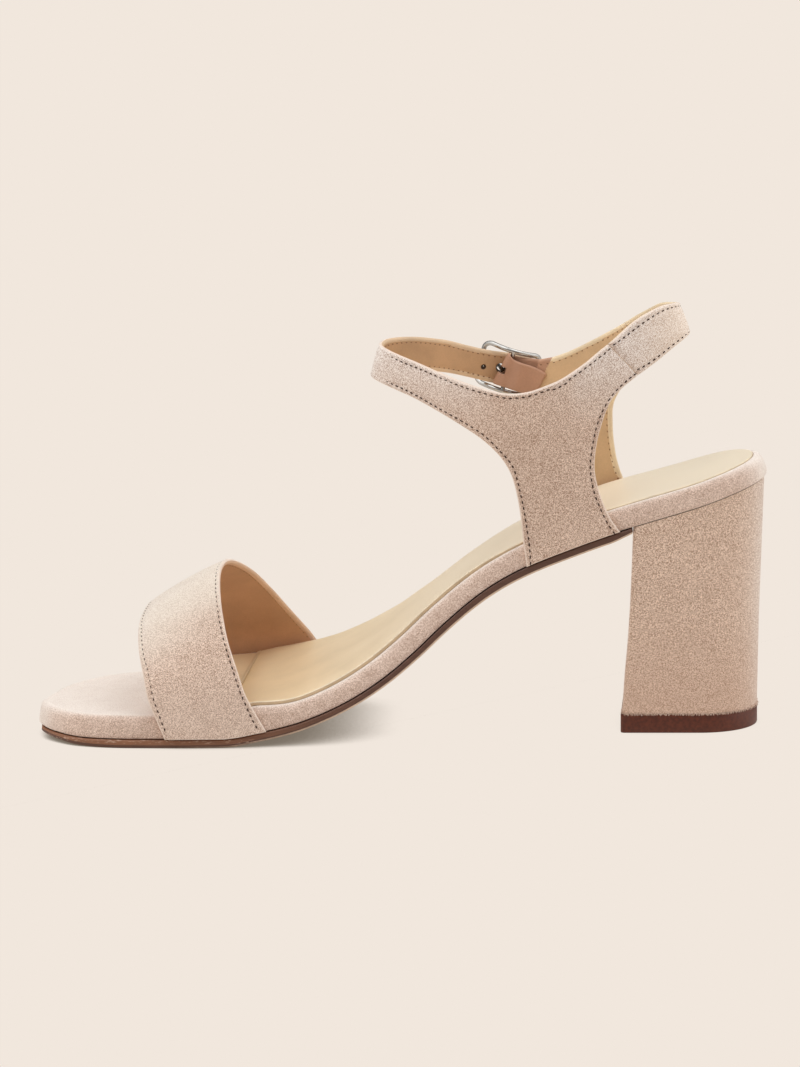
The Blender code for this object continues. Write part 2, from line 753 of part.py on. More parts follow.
def across_strap(name, outline, half, finish):
    """An outline along the strap and outwards, extruded across the strap."""
    count = len(outline)
    points = [buckle_place(a, b, BAR_Y + out) for b in (-half, half) for a, out in outline]
    faces = [tuple(range(count)), tuple(range(count, 2 * count))]
    for i in range(count):
        j = (i + 1) % count
        faces.append((i, j, count + j, count + i))
    return add_object(name, points, faces, finish)


def buckle_prong():
    path = [buckle_place(along, 0.0, BAR_Y + out) for along, out in PRONG]
    return tube("buckle_prong", path, PRONG_RADIUS, 8, False, "metal")


def main():
    for old in list(bpy.data.objects):
        bpy.data.objects.remove(old)
    outsole()
    wrapped_insole()
    sock()
    heel_block()
    top_lift()
    vamp_strap()
    medial_quarter()
    back_strap()
    lateral_quarter()
    buckle_tab()
    buckle_frame()
    buckle_prong()


main()
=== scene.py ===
"""Looks of a right heeled sandal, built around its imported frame.

Tables are in millimetres, and s is the distance back from the toe tip. Toe towards -X, medial side
towards -Y, floor at z = 0. The meshes are in metres.
"""
import math

import bmesh
import bpy
import numpy as np
from bpy.props import FloatProperty, FloatVectorProperty, IntProperty, PointerProperty
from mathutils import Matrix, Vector
from mathutils.bvhtree import BVHTree


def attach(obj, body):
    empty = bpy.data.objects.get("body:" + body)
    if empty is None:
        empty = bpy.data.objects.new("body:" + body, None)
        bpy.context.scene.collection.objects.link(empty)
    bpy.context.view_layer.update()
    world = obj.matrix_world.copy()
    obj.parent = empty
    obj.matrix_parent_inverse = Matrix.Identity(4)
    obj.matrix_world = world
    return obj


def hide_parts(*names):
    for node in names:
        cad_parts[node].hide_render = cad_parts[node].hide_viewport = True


bl_info = {
    "name": "Heeled sandal looks",
    "version": (1, 0, 0),
    "blender": (4, 5, 0),
    "location": "View3D > Sidebar > Sandal",
    "description": "Suede, linings, stitches, sole edge and buckle around the packed sandal",
    "category": "Object",
}

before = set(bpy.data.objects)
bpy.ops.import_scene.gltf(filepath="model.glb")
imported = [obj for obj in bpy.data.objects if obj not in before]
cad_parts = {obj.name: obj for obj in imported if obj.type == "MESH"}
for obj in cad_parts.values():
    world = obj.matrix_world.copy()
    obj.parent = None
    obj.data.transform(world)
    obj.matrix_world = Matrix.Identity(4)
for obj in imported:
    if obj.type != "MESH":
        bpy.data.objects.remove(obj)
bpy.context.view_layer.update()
BODY = "root"

MM = 0.001
GAP = 0.3
TOE_X = -115.54
AXIS_Y = 0.09
MEDIAL = -1
LATERAL = 1

# Sole layers, measured square to the footbed line. Pairs are a height and how far in the outline lies there.
OUTSOLE = 2.6
OUTSOLE_START = 1.6
OUTSOLE_END = 185.6
OUTSOLE_LEDGE = 0.7
SOLE_FOOT = ((0.0, 0.6), (0.25, 0.25), (0.6, 0.0), (1.05, 0.0))
SOLE_TOP = ((-0.25, 0.0), (0.0, 0.25))
BAND = 7.5
BAND_ROUND = 3.0
BAND_FOOT = ((0.0, 0.5), (0.15, 0.15), (0.5, 0.0), (2.0, -0.12))
SOCK = 1.0
SOCK_INSET = 2.6
SOCK_FRONT_MEDIAL = 57.0
SOCK_FRONT_LATERAL = 68.0
SOCK_RECESS_START = 40.0
SOCK_RECESS_LENGTH = 10.0
SOCK_SQUARE = 76.0
SHOULDER_FLUSH = 0.65
SHOULDER_START = 125.0
SHOULDER_LENGTH = 50.0
SHOULDER_INSET = 2.35
SHOULDER_STEP = 0.1
SOCK_SUNK = 0.2
SOCK_ROUND = ((-0.3, 0.0), (-0.06, 0.14), (0.0, 0.45))
SOCK_THINNED = 0.75
SOCK_THINNED_LENGTH = 9.0
FOREFOOT_TOP = OUTSOLE + GAP + BAND

# How much thinner the outsole is than at the forefoot: s, thickness taken away
SKIVED = (
    (-3.0, 1.7), (5.0, 0.9), (14.0, 0.25), (24.0, 0.0), (60.0, 0.0), (105.0, 0.45), (125.0, 0.3),
    (140.0, 0.1), (155.0, 0.0), (178.0, 0.0), (186.0, 1.0),
)

# Footbed line along the sole: s, height
FOOTBED = (
    (-3.0, FOREFOOT_TOP + 1.2), (6.0, FOREFOOT_TOP + 0.45), (16.0, FOREFOOT_TOP), (57.0, FOREFOOT_TOP),
    (68.0, 12.1), (77.5, 14.2), (86.5, 17.3), (95.5, 21.4), (104.4, 26.8), (113.4, 34.0), (122.4, 42.4),
    (131.0, 49.8), (137.9, 54.9), (144.7, 59.0), (153.3, 63.2), (166.0, 68.2), (180.7, 73.5), (205.0, 81.0),
    (219.0, 85.5), (228.0, 88.0), (236.0, 90.2),
)

# How far the lateral edge of the footbed lies below the medial one: s, drop
CANT = (
    (-3.0, 0.0), (86.0, 0.0), (97.0, 0.3), (107.0, 1.2), (117.0, 3.0), (128.0, 4.3), (139.0, 3.7),
    (152.0, 2.0), (166.0, 0.6), (180.0, 0.1), (195.0, 0.5), (210.0, 0.8), (224.0, 0.4), (236.0, 0.0),
)

# Plan of the insole as far as the seat: s, medial edge, lateral edge
PLAN = (
    (0.0, -20.6, -17.2), (1.0, -24.0, -13.4), (3.0, -28.6, -7.0), (6.4, -33.0, 3.0), (11.0, -36.8, 12.0),
    (17.0, -39.1, 19.2), (24.0, -40.3, 24.2), (32.0, -40.7, 28.2), (46.0, -40.8, 33.4), (60.0, -40.2, 37.2),
    (74.0, -39.3, 39.8), (84.0, -38.2, 40.6), (94.0, -36.0, 38.6), (104.0, -32.8, 34.6),
    (114.0, -30.0, 30.2), (126.0, -27.6, 26.2), (138.0, -25.9, 23.9), (152.0, -24.6, 23.0),
    (170.0, -23.7, 23.2), (190.0, -23.5, 23.5), (206.0, -23.5, 23.5),
)
SEAT_BACK = 229.8
SEAT_HALF = 23.5
SEAT_FLAT = 0.02

# How far the lateral rim of the footbed, and then the medial one, curls up under the vamp strap: s, rise
CUPPED = (
    (-3.0, 0.0), (40.0, 0.0), (52.0, 3.6), (60.0, 4.4), (67.0, 3.5), (74.0, 2.6), (82.0, 1.5), (90.0, 0.4),
    (97.0, 0.0), (236.0, 0.0),
)
CUPPED_MEDIAL = (
    (-3.0, 0.0), (45.0, 0.0), (58.0, 2.0), (68.0, 2.1), (74.0, 1.2), (79.0, 0.4), (85.0, 0.0),
    (236.0, 0.0),
)
CUPPED_POWER = 3.0
LINED_FROM = 46.0

# Heel block from its foot to the seat: share of the height, breast, back, half width
HEEL = (
    (0.0, 186.3, 228.9, 18.5), (0.2, 187.0, 229.2, 19.2), (0.4, 188.0, 229.5, 20.2),
    (0.6, 188.7, 230.0, 21.3), (0.8, 189.2, 230.5, 22.3), (1.0, 189.6, 231.0, 23.0),
)
HEEL_CORNER = 1.2
LIFT = 6.0
LIFT_BREAST = 185.8
LIFT_BACK = 229.0
LIFT_HALF = 18.7
LIFT_PROFILE = ((0.0, 0.2), (0.12, 0.05), (0.35, 0.0), (LIFT - 0.3, 0.0), (LIFT, 0.25))
HEEL_SLANT = 0.75
HEEL_SLANT_REACH = 20.0
HEEL_RINGS = 40

# Loose fibres along the foot of the heel's cover
FRINGE_PITCH = 0.42
FRINGE_WIDTH = 0.3
FRINGE_HEIGHT = 0.16
FRINGE_TILT = 0.6
FRINGE_SINK = 0.05
FRINGE_OUT = 0.1
FRINGE_SPLAY = 0.25

# Vamp strap over the foot, medial to lateral: front edge s, y, z and rear edge s, y, z
VAMP = (
    (34.2, -41.4, 16.0, 65.4, -41.2, 17.3),
    (32.6, -37.5, 23.0, 62.6, -38.6, 25.3),
    (31.1, -30.0, 29.3, 59.4, -33.0, 34.4),
    (30.7, -20.0, 34.3, 57.2, -23.0, 44.6),
    (31.9, -9.0, 37.1, 57.0, -9.0, 51.6),
    (34.6, 4.0, 38.2, 60.0, 3.0, 52.6),
    (39.2, 15.5, 36.0, 66.6, 15.5, 47.0),
    (44.6, 26.0, 30.4, 73.0, 25.5, 38.7),
    (49.4, 33.6, 23.5, 79.0, 33.8, 30.0),
    (53.0, 38.8, 16.2, 85.0, 40.6, 21.6),
)
VAMP_FEET = {MEDIAL: (39.6, 70.6, 37.3, 68.8), LATERAL: (56.0, 91.0, 54.8, 88.2)}
VAMP_HUG = -2.0
VAMP_ROUND = 0.9
VAMP_CENTRE = (55.0, 0.0, 10.0)

# Ankle loop in plan: distance from its front, half width
LOOP_FRONT = 105.8
LOOP_LENGTH = 101.4
LOOP_PLAN = (
    (0.0, 0.0), (10.0, 13.0), (17.0, 18.6), (25.0, 24.6), (33.0, 28.6), (41.0, 30.6), (50.0, 31.0),
    (62.0, 28.4), (74.0, 22.6), (85.0, 15.2), (93.0, 10.6), (101.4, 0.0),
)
LOOP_LEVEL = 101.0
FRONT_LEAN = (116.3, 0.277)
BACK_LEAN = (127.5, 0.37)
STRAP_DROP = 15.0
PANEL_DROP = 45.0
BOW = 1.5

# Edges of the ankle harness: angle round the loop and height of the upper edge, then of the lower edge,
# and how far the strap stands off the loop. Angles run from the loop's front, medial side first.
FOOT = None
MEDIAL_STRAP = (
    (-101.0, 109.1, -101.0, 99.2, 3.9), (-93.0, 110.9, -93.0, 100.4, 4.3), (-84.0, 113.0, -84.0, 101.9, 4.4),
    (-75.0, 114.3, -75.0, 103.8, 4.0), (-66.0, 116.8, -66.0, 106.5, 2.2), (-56.0, 119.9, -56.0, 109.3, 0.5),
    (-40.0, 122.7, -40.0, 112.0, 0.0), (-20.0, 123.7, -20.0, 113.2, 0.0), (0.0, 123.4, 0.0, 112.9, 0.0),
    (20.0, 122.6, 20.0, 111.9, 0.0), (40.0, 120.5, 40.0, 109.1, 0.0), (53.0, 118.2, 53.0, 105.7, 0.0),
    (62.5, 116.2, 62.5, 102.2, 0.0), (70.0, 114.7, 71.0, 98.1, 0.0), (76.0, 113.6, 77.8, 92.9, 0.0),
    (81.0, 113.0, 82.0, 87.3, 0.0), (85.0, 113.1, 84.2, 81.2, 0.0), (88.0, 113.5, 85.8, 73.6, 0.0),
    (90.0, 113.9, 87.0, 64.0, 0.0), (91.5, 114.3, 88.2, FOOT, 0.0),
)
MEDIAL_REAR = (
    (99.0, 116.6, 123.8, FOOT, 0.0), (101.0, 117.4, 119.6, 71.5, 0.0), (103.0, 118.4, 116.0, 78.0, 0.0),
    (105.0, 119.4, 113.6, 86.0, 0.0), (107.5, 120.7, 113.9, 93.0, 0.0), (110.5, 122.3, 115.7, 99.8, 0.0),
    (113.5, 124.1, 119.6, 108.0, 0.0), (116.0, 125.6, 125.0, 112.3, 0.0), (119.0, 127.2, 132.3, 115.8, 0.0),
)
BACK = (
    (119.07, 127.26, 132.37, 115.85, 0.0), (132.0, 133.8, 142.0, 119.5, 0.0),
    (147.0, 137.1, 154.0, 123.4, 0.0), (163.0, 137.5, 167.0, 125.7, 0.0), (180.0, 136.9, 180.0, 126.3, 0.0),
    (197.0, 135.9, 193.0, 125.2, 0.0), (212.0, 134.6, 205.0, 121.9, 0.0), (225.0, 130.6, 213.0, 118.4, 0.0),
    (233.43, 126.47, 220.23, 114.95, 0.0),
)
LATERAL_REAR = (
    (233.5, 126.4, 220.3, 114.9, 0.0), (238.0, 124.0, 227.0, 111.0, 0.0), (242.0, 122.0, 233.0, 106.6, 0.0),
    (245.0, 120.4, 237.8, 100.0, 0.0), (248.0, 118.9, 238.4, 93.0, 0.0), (250.5, 117.6, 237.8, 85.5, 0.0),
    (253.0, 116.4, 235.9, 78.0, 0.0), (256.0, 115.0, 231.0, FOOT, 0.0),
)
LATERAL_FRONT = (
    (261.5, 113.0, 265.1, FOOT, 0.0), (262.6, 112.8, 266.2, 66.0, 0.0), (263.6, 112.6, 267.0, 78.0, 0.0),
    (264.5, 112.4, 267.7, 88.0, 0.0), (265.6, 112.2, 268.7, 96.0, 0.0), (266.9, 112.0, 270.0, 101.1, 0.0),
)

# Buckle, set along the strap on the lateral side
BUCKLE_S = 149.2
BUCKLE_Z = 107.9
BUCKLE_TILT = math.radians(16.6)
BAR_Y = 31.0
BAR_RADIUS = 0.7
FRAME_HALF_LENGTH = 9.2
FRAME_HALF_HEIGHT = 6.7
FRAME_CORNER = 2.4
FRAME_RADIUS = 0.8
FRAME_ARCH = 5.4
TAB_BOTTOM = -5.1

# Upper edge of the tab: way, from -1 at its outer end over 0 to 1 round the bar to 2 at its seam, and
# height across
TAB_TOP = (
    (-1.0, 7.2), (-0.56, 6.3), (-0.4, 5.7), (-0.2, 5.3), (0.0, 5.1), (0.39, 5.4), (0.62, 6.0), (0.92, 5.0),
    (1.14, 4.3), (1.55, 4.2), (1.79, 3.9), (2.0, 3.3),
)
TAB_LOOSE_BELOW = 5.0
TAB_WALL = 0.9
TAB_COLUMNS = 25
TAB_TAIL = 12.6
TAB_TAIL_SETTLE = 8.0
TAB_SEAM = 11.3
TAB_SLANT = 0.15
TAB_SETTLE = 4.0
TAB_CLEAR = 0.1
TAB_LOOSE = 0.19
SLOT_HALF = 1.1
SLOT_BACK = -0.85
PRONG_RADIUS = 0.65
PRONG_HOLE = 1.5
PRONG_HOLE_PLACE = (-2.5, 3.0)
SPARE_HOLE = 0.85
SPARE_HOLE_PLACE = (-72.6, 109.3)
SPARE_HOLE_CLOSED = 0.25
PRONG_HOLE_CLOSED = 0.8
HOLE_REACH = 5.0

# Prong from the bar through the strap to the frame: place along the strap, height above the bar
PRONG = ((-1.65, 0.4), (-2.3, 1.6), (-2.5, 3.0), (-3.2, 4.8), (-5.2, 6.75), (-9.0, 7.15), (-10.2, 6.95))

# Camera, floor and light: the picture's height at the sandal and half of the floor are in metres
CAMERA_AIM = (-1.02, 0.09, 61.2)
FRAME_HEIGHT = 0.3414
SENSOR_WIDTH = 36.0
FLOOR_HALF = 40.0
SKY_COLOUR = (1.0, 0.97, 0.94, 1.0)
LIGHT_SPREAD = math.radians(80.0)
LIGHTS = (
    ("top", (0.0, 0.05, -1.0), "top_power"), ("toe side", (0.75, 0.25, -0.8), "side_power"),
    ("heel side", (-0.85, -0.1, -0.7), "side_power"),
)

# Sampling: steps between table rows, and places near an edge where a wall rounds off and its stitches sink in
ROW_STEPS = 10
FOOT_STEPS = 40
VAMP_STEPS = 12
EDGE_LADDER = np.array((0.0, 0.07, 0.26, 0.55, 0.9, 1.25, 1.6, 1.95, 2.4, 3.0))
MIDDLE_COLUMNS = 26
VAMP_WIDTH = 29.0
VAMP_LIFTS = (0.0, 0.14)
ACROSS_SOLE = 24
LINE_ROUNDS = 24
INSIDE_COLUMN = 8
ROD_SIDES = 16
PRONG_SIDES = 14
PUNCH_SIDES = 20
FACE_SEARCH = 1.2

# Leather walls, and their stitches: margins at a row's ends, and sizes inside as shares of those outside
WALL = 1.8
WALL_CREASE = 60.0
EDGE_REACH = 20.0
SEAM_MARGIN = 0.6
VAMP_MARGIN = 3.0
LINING_TROUGH = 0.4
STITCH_TILT = 0.09
INNER_LENGTH = 0.6
INNER_WIDTH = 0.8
INNER_HEIGHT = 0.5

# Tints: factors on a finish's own colour, then colours that it blends towards
NAP_HOLLOW = (0.59, 0.51, 0.46)
NAP_TIP = (1.25, 1.32, 1.37)
FOOT_SHADE = (0.78, 0.68, 0.64)
# A lining's rim: a lighter copy of it that paints a highlight
LIT_RIM_TONE = (1.26, 1.48, 1.75)
FLOOR_SHADE = (0.22, 0.2, 0.17)
SHEEN_SUEDE = (0.93, 0.86, 0.79)
VAMP_FOOT_SUEDE = (1.0, 0.88, 0.8)
TOP_LIT_SUEDE = (0.81, 0.725, 0.615)
STRAP_SHEEN_SUEDE = (1.0, 0.95, 0.91)
BACK_SUEDE = (1.0, 0.8, 0.61)
FRAYED_SUEDE = (0.84, 0.7, 0.6)
SOLE_FLECK = (0.7, 0.5, 0.38)


class Curve:
    """Cubic through the rows of a table that never overshoots, so that level stretches stay level."""

    def __init__(self, rows):
        table = np.array(rows, dtype=float)
        self.at = table[:, 0]
        self.value = table[:, 1]
        grades = np.diff(self.value) / np.diff(self.at)
        slopes = [grades[0]]
        for before, after in zip(grades[:-1], grades[1:]):
            slopes.append(2.0 * before * after / (before + after) if before * after > 0.0 else 0.0)
        slopes.append(grades[-1])
        self.slopes = np.array(slopes)

    def _span(self, at):
        index = np.clip(np.searchsorted(self.at, at) - 1, 0, len(self.at) - 2)
        width = self.at[index + 1] - self.at[index]
        return index, width, (at - self.at[index]) / width

    def __call__(self, at):
        i, width, t = self._span(at)
        start = (1.0 + 2.0 * t) * (1.0 - t) ** 2 * self.value[i] + t * (1.0 - t) ** 2 * width * self.slopes[i]
        stop = t * t * (3.0 - 2.0 * t) * self.value[i + 1] + t * t * (t - 1.0) * width * self.slopes[i + 1]
        return start + stop

    def slope(self, at):
        i, width, t = self._span(at)
        rise = 6.0 * t * (1.0 - t) * (self.value[i + 1] - self.value[i]) / width
        ends = (1.0 - t) * (1.0 - 3.0 * t) * self.slopes[i] + t * (3.0 * t - 2.0) * self.slopes[i + 1]
        return rise + ends


def smooth(rows, steps):
    """Rows of a table refined along a smooth curve that passes through each of them."""
    points = np.array(rows, dtype=float)
    padded = np.concatenate((2.0 * points[:1] - points[1:2], points, 2.0 * points[-1:] - points[-2:-1]))
    fine = []
    for a, b, c, d in zip(padded, padded[1:], padded[2:], padded[3:]):
        for t in np.arange(steps) / steps:
            cubic = (3.0 * b - a - 3.0 * c + d) * t ** 3
            fine.append(0.5 * (2.0 * b + (c - a) * t + (2.0 * a - 5.0 * b + 4.0 * c - d) * t * t + cubic))
    fine.append(points[-1])
    return np.array(fine)


def ease(share):
    share = np.clip(share, 0.0, 1.0)
    return share * share * (3.0 - 2.0 * share)


def unit(ways):
    return ways / np.linalg.norm(ways, axis=-1, keepdims=True)


footbed = Curve(FOOTBED)
cant = Curve(CANT)
skived = Curve(SKIVED)
cupped = Curve(CUPPED)
cupped_medial = Curve(CUPPED_MEDIAL)
loop_squared = Curve([(distance, half * half) for distance, half in LOOP_PLAN])


def plan_edge(side):
    """One side of the insole's outline from the toe to the middle of the back, as (s, y) points."""
    column = 1 if side == MEDIAL else 2
    front = smooth([(row[0], row[column]) for row in PLAN], 12)
    centre = PLAN[-1][0]
    turns = np.radians(np.linspace(2.0, 88.0, 44))
    back = np.column_stack((centre + (SEAT_BACK - centre) * np.sin(turns), side * SEAT_HALF * np.cos(turns)))
    return np.vstack((front, back))


EDGES = {side: plan_edge(side) for side in (MEDIAL, LATERAL)}


def edge_y(side, s):
    return np.interp(s, EDGES[side][:, 0], EDGES[side][:, 1])


def sole_point(s, y, level):
    """The point a given level above the footbed, square to its line there."""
    medial = edge_y(MEDIAL, s)
    across = (y - medial) / np.maximum(1.0, edge_y(LATERAL, s) - medial)
    slope = footbed.slope(s) - across * cant.slope(s)
    length = np.hypot(1.0, slope)
    height = footbed(s) - across * cant(s) + level / length
    return np.stack((s - level * slope / length, y + 0.0 * s, height), -1)


def level_height(side, level):
    """Height of a sole layer at one edge, as a function of s."""
    s = np.linspace(0.0, SEAT_BACK, 460)
    line = sole_point(s, edge_y(side, s), level)
    return lambda at: np.interp(at, line[:, 0], line[:, 2])


band_bottom = {side: level_height(side, -BAND) for side in EDGES}
band_top = {side: level_height(side, 0.0) for side in EDGES}
heel_seat = {side: level_height(side, -BAND - GAP) for side in EDGES}


def stations(start, stop):
    """Stations along the sole, close together where the toe and the seat turn."""
    toe = 24.0 * (np.arange(40) / 40.0) ** 2
    centre = PLAN[-1][0]
    middle = np.linspace(24.0, centre, 150)
    seat = centre + (SEAT_BACK - centre) * np.sin(np.radians(np.linspace(3.0, 88.0, 34)))
    inside = [s for s in (*toe, *middle, *seat) if start + 0.02 < s < stop - 0.002]
    return np.array([start, *inside, stop])


def edge_pair(runs):
    """Medial and lateral edges of the insole's outline at two equally long runs of stations."""
    return [np.column_stack((run, edge_y(side, run))) for side, run in zip((MEDIAL, LATERAL), runs)]


def inset(pairs, distance):
    """A closed outline, given as its medial and lateral edges, moved inwards."""
    medial, lateral = pairs
    loop = np.vstack((medial, lateral[::-1]))
    ahead = unit(np.roll(loop, -1, axis=0) - loop)
    mean = unit(ahead + np.roll(ahead, 1, axis=0))
    moved = loop + distance * np.column_stack((-mean[:, 1], mean[:, 0]))
    return moved[:len(medial)], moved[len(medial):][::-1]


def no_relief(s, across):
    return 0.0 * s


def thinned_sole(s, across):
    return skived(s)


def cupped_rim(s, across):
    return cupped(s) * across ** CUPPED_POWER + cupped_medial(s) * (1.0 - across) ** CUPPED_POWER


def insole_top(s, across):
    """The step down from the toe's level to where the sock lies on the insole, and its curled rim."""
    return cupped_rim(s, across) - (SOCK + GAP) * ease((s - SOCK_RECESS_START) / SOCK_RECESS_LENGTH)


def insole_shoulder(s, across):
    """Rounded edge of the insole beside the sock: below it at the ball, nearly flush with it at the heel."""
    flush = SHOULDER_FLUSH * ease((s - SHOULDER_START) / SHOULDER_LENGTH)
    return cupped_rim(s, across) + (1.0 - flush) * (insole_top(s, across) - cupped_rim(s, across))


def sock_top(s, across):
    """The sock's own face: thinned towards its front edge, and curled with the rim."""
    front = SOCK_FRONT_MEDIAL + across * (SOCK_FRONT_LATERAL - SOCK_FRONT_MEDIAL)
    return cupped_rim(s, across) - SOCK_THINNED * (1.0 - ease((s - front) / SOCK_THINNED_LENGTH))


def heel_outline(breast, back, half):
    """Flat breast, turned a little, small corners, straight sides and a half round back, as paired edges."""
    bend = np.radians(np.linspace(0.0, 90.0, 6))
    corner = np.column_stack((breast + HEEL_CORNER * (1.0 - np.cos(bend)),
                              half - HEEL_CORNER * (1.0 - np.sin(bend))))
    straight = np.linspace(breast + 3.0, back - half, 12)
    turns = np.radians(np.linspace(3.0, 89.0, 36))
    turn = np.column_stack((back - half + half * np.sin(turns), half * np.cos(turns)))
    lateral = np.vstack((corner, np.column_stack((straight, np.full(12, half))), turn))
    turned = HEEL_SLANT * np.clip(1.0 - (lateral[:, 0] - breast) / HEEL_SLANT_REACH, 0.0, 1.0)
    sideways = np.column_stack((turned, np.zeros(len(turned))))
    return lateral * (1.0, -1.0) - sideways, lateral + sideways


def ankle_point(angle, z, lift):
    """Outer face of the ankle harness at an angle round the loop, in degrees from its front."""
    turn = np.radians(angle)
    distance = LOOP_LENGTH * 0.5 * (1.0 - np.cos(turn))
    side = np.where(np.sin(turn) >= 0.0, MEDIAL, LATERAL)
    s = LOOP_FRONT + distance
    loop_half = np.sqrt(np.maximum(0.0, loop_squared(distance)))
    foot_half = np.where(side == MEDIAL, -edge_y(MEDIAL, s), edge_y(LATERAL, s)) + GAP + WALL
    floor = np.where(side == MEDIAL, band_top[MEDIAL](s), band_top[LATERAL](s))
    rise = np.clip((z - floor) / (LOOP_LEVEL - floor), 0.0, 1.0)
    y = side * (foot_half + rise * (loop_half - foot_half) + lift)
    s = s + (z - FRONT_LEAN[0]) * FRONT_LEAN[1] * np.maximum(0.0, np.cos(turn)) ** 4
    s = s - np.maximum(0.0, z - BACK_LEAN[0]) * BACK_LEAN[1] * np.maximum(0.0, -np.cos(turn)) ** 4
    return np.stack((s, y, z + 0.0 * s), -1)


def ankle_normal(angle, z, lift):
    round_loop = ankle_point(angle + 0.5, z, lift) - ankle_point(angle - 0.5, z, lift)
    upwards = ankle_point(angle, z + 0.5, lift) - ankle_point(angle, z - 0.5, lift)
    return unit(np.cross(round_loop, upwards))


def foot_height(angle):
    side = MEDIAL if math.sin(math.radians(angle)) >= 0.0 else LATERAL
    return float(band_bottom[side](LOOP_FRONT + LOOP_LENGTH * 0.5 * (1.0 - math.cos(math.radians(angle)))))


def on_foot(rows):
    """Rows whose lower edge is marked as the foot, brought down to the bottom of the insole's edge."""
    return [row if row[3] is not FOOT else (*row[:3], foot_height(row[2]), row[4]) for row in rows]


def along_foot(start, stop):
    """Rows between two foot corners, with the lower edge along the bottom of the insole's edge."""
    rows = []
    for share in np.arange(1, FOOT_STEPS) / FOOT_STEPS:
        row = start + (stop - start) * share
        rows.append((*row[:3], foot_height(row[2]), row[4]))
    return rows


def ladder(lengths):
    """Shares across a piece for rows of these lengths, close together at both edges."""
    near = EDGE_LADDER[None, :] / lengths[:, None]
    middle = np.linspace(0.0, 1.0, MIDDLE_COLUMNS + 1)[None, 1:-1]
    return np.hstack((near, near[:, -1:] + (1.0 - 2.0 * near[:, -1:]) * middle, 1.0 - near[:, ::-1]))


def harness_grid(rows):
    """Outer points and normals of a piece of the ankle harness, from its upper to its lower edge."""
    upper_angle, upper_z, lower_angle, lower_z, lift = np.array(rows, dtype=float).T[:, :, None]
    drop = upper_z - lower_z
    bow = 1.0 + BOW * np.clip((drop - STRAP_DROP) / (PANEL_DROP - STRAP_DROP), 0.0, 1.0)

    def lines(shares):
        angles = upper_angle + shares ** bow * (lower_angle - upper_angle)
        return angles, upper_z - shares * drop, lift + 0.0 * shares

    coarse = ankle_point(*lines(np.linspace(0.0, 1.0, 16)[None, :]))
    lengths = np.linalg.norm(np.diff(coarse, axis=1), axis=2).sum(axis=1)
    places = lines(ladder(lengths))
    return ankle_point(*places), ankle_normal(*places)


def grid_normals(grid, outward):
    normals = unit(np.cross(np.gradient(grid, axis=0), np.gradient(grid, axis=1)))
    return normals * np.sign(np.sum(normals * outward, axis=2))[:, :, None]


def vamp_grid():
    """Outer points and normals of the vamp strap, medial to lateral, from its front to its rear edge."""
    shares = ladder(np.array([VAMP_WIDTH]))[0][:, None]

    def side_row(side, front, rear, level):
        s = front + shares[:, 0] * (rear - front)
        return sole_point(s, edge_y(side, s) + side * (GAP + WALL), level)

    def bridge(row):
        front, rear = np.array(row[:3]), np.array(row[3:])
        return front + shares * (rear - front) + shares * (1.0 - shares) * (0.0, 0.0, 4.0 * VAMP_ROUND)

    feet = {}
    for side, (front, rear, hug_front, hug_rear) in VAMP_FEET.items():
        feet[side] = [side_row(side, front, rear, -BAND), side_row(side, hug_front, hug_rear, VAMP_HUG)]
    rows = [*feet[MEDIAL], *[bridge(row) for row in VAMP], *reversed(feet[LATERAL])]
    grid = smooth(rows, VAMP_STEPS)
    return grid, grid_normals(grid, (grid - VAMP_CENTRE) * (0.0, 1.0, 1.0))


def buckle_place(along, across, y):
    """A point of the buckle: along the strap towards its end, across it upwards, and outwards."""
    s = BUCKLE_S + along * math.cos(BUCKLE_TILT) + across * math.sin(BUCKLE_TILT)
    return np.array((s, y, BUCKLE_Z - along * math.sin(BUCKLE_TILT) + across * math.cos(BUCKLE_TILT)))


def ahead_of_tab_seam(points):
    """Whether points lie ahead of the slanted seam that ends the lateral quarter's lining."""
    back = points[:, 0] - BUCKLE_S
    up = points[:, 2] - BUCKLE_Z
    along = back * math.cos(BUCKLE_TILT) - up * math.sin(BUCKLE_TILT)
    across = back * math.sin(BUCKLE_TILT) + up * math.cos(BUCKLE_TILT)
    return along < TAB_SEAM + TAB_SLANT * across


def metres(points):
    return (np.asarray(points, dtype=float) + (TOE_X, AXIS_Y, 0.0)) * MM


def quads(index):
    """Quads of a grid of vertex numbers."""
    return np.stack((index[:-1, :-1], index[:-1, 1:], index[1:, 1:], index[1:, :-1]), -1).reshape(-1, 4)


def placed(name, data):
    """A new object in the scene, at the origin."""
    made = bpy.data.objects.new(name, data)
    bpy.context.scene.collection.objects.link(made)
    return made


def add_piece(name, points, faces, finishes, finish_of=None, near_edge=None, crease=40.0):
    """An object from points in millimetres, with smooth faces that are turned outwards."""
    mesh = bpy.data.meshes.new(name)
    mesh.from_pydata(metres(points).tolist(), [], faces)
    for coat in finishes:
        mesh.materials.append(coat)
    if finish_of is not None:
        mesh.polygons.foreach_set("material_index", np.asarray(finish_of, dtype=np.int32))
    if near_edge is not None:
        mesh.attributes.new("edge", "FLOAT", "POINT").data.foreach_set("value", near_edge.astype(np.float32))
    shape = bmesh.new()
    shape.from_mesh(mesh)
    bmesh.ops.recalc_face_normals(shape, faces=shape.faces)
    shape.to_mesh(mesh)
    shape.free()
    mesh.shade_smooth()
    mesh.set_sharp_from_angle(angle=math.radians(crease))
    return placed(name, mesh)


def settle(piece, slot, *nodes):
    """Hang a finished piece on the frame in place of its CAD nodes."""
    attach(piece, BODY)
    if nodes:
        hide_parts(*nodes)


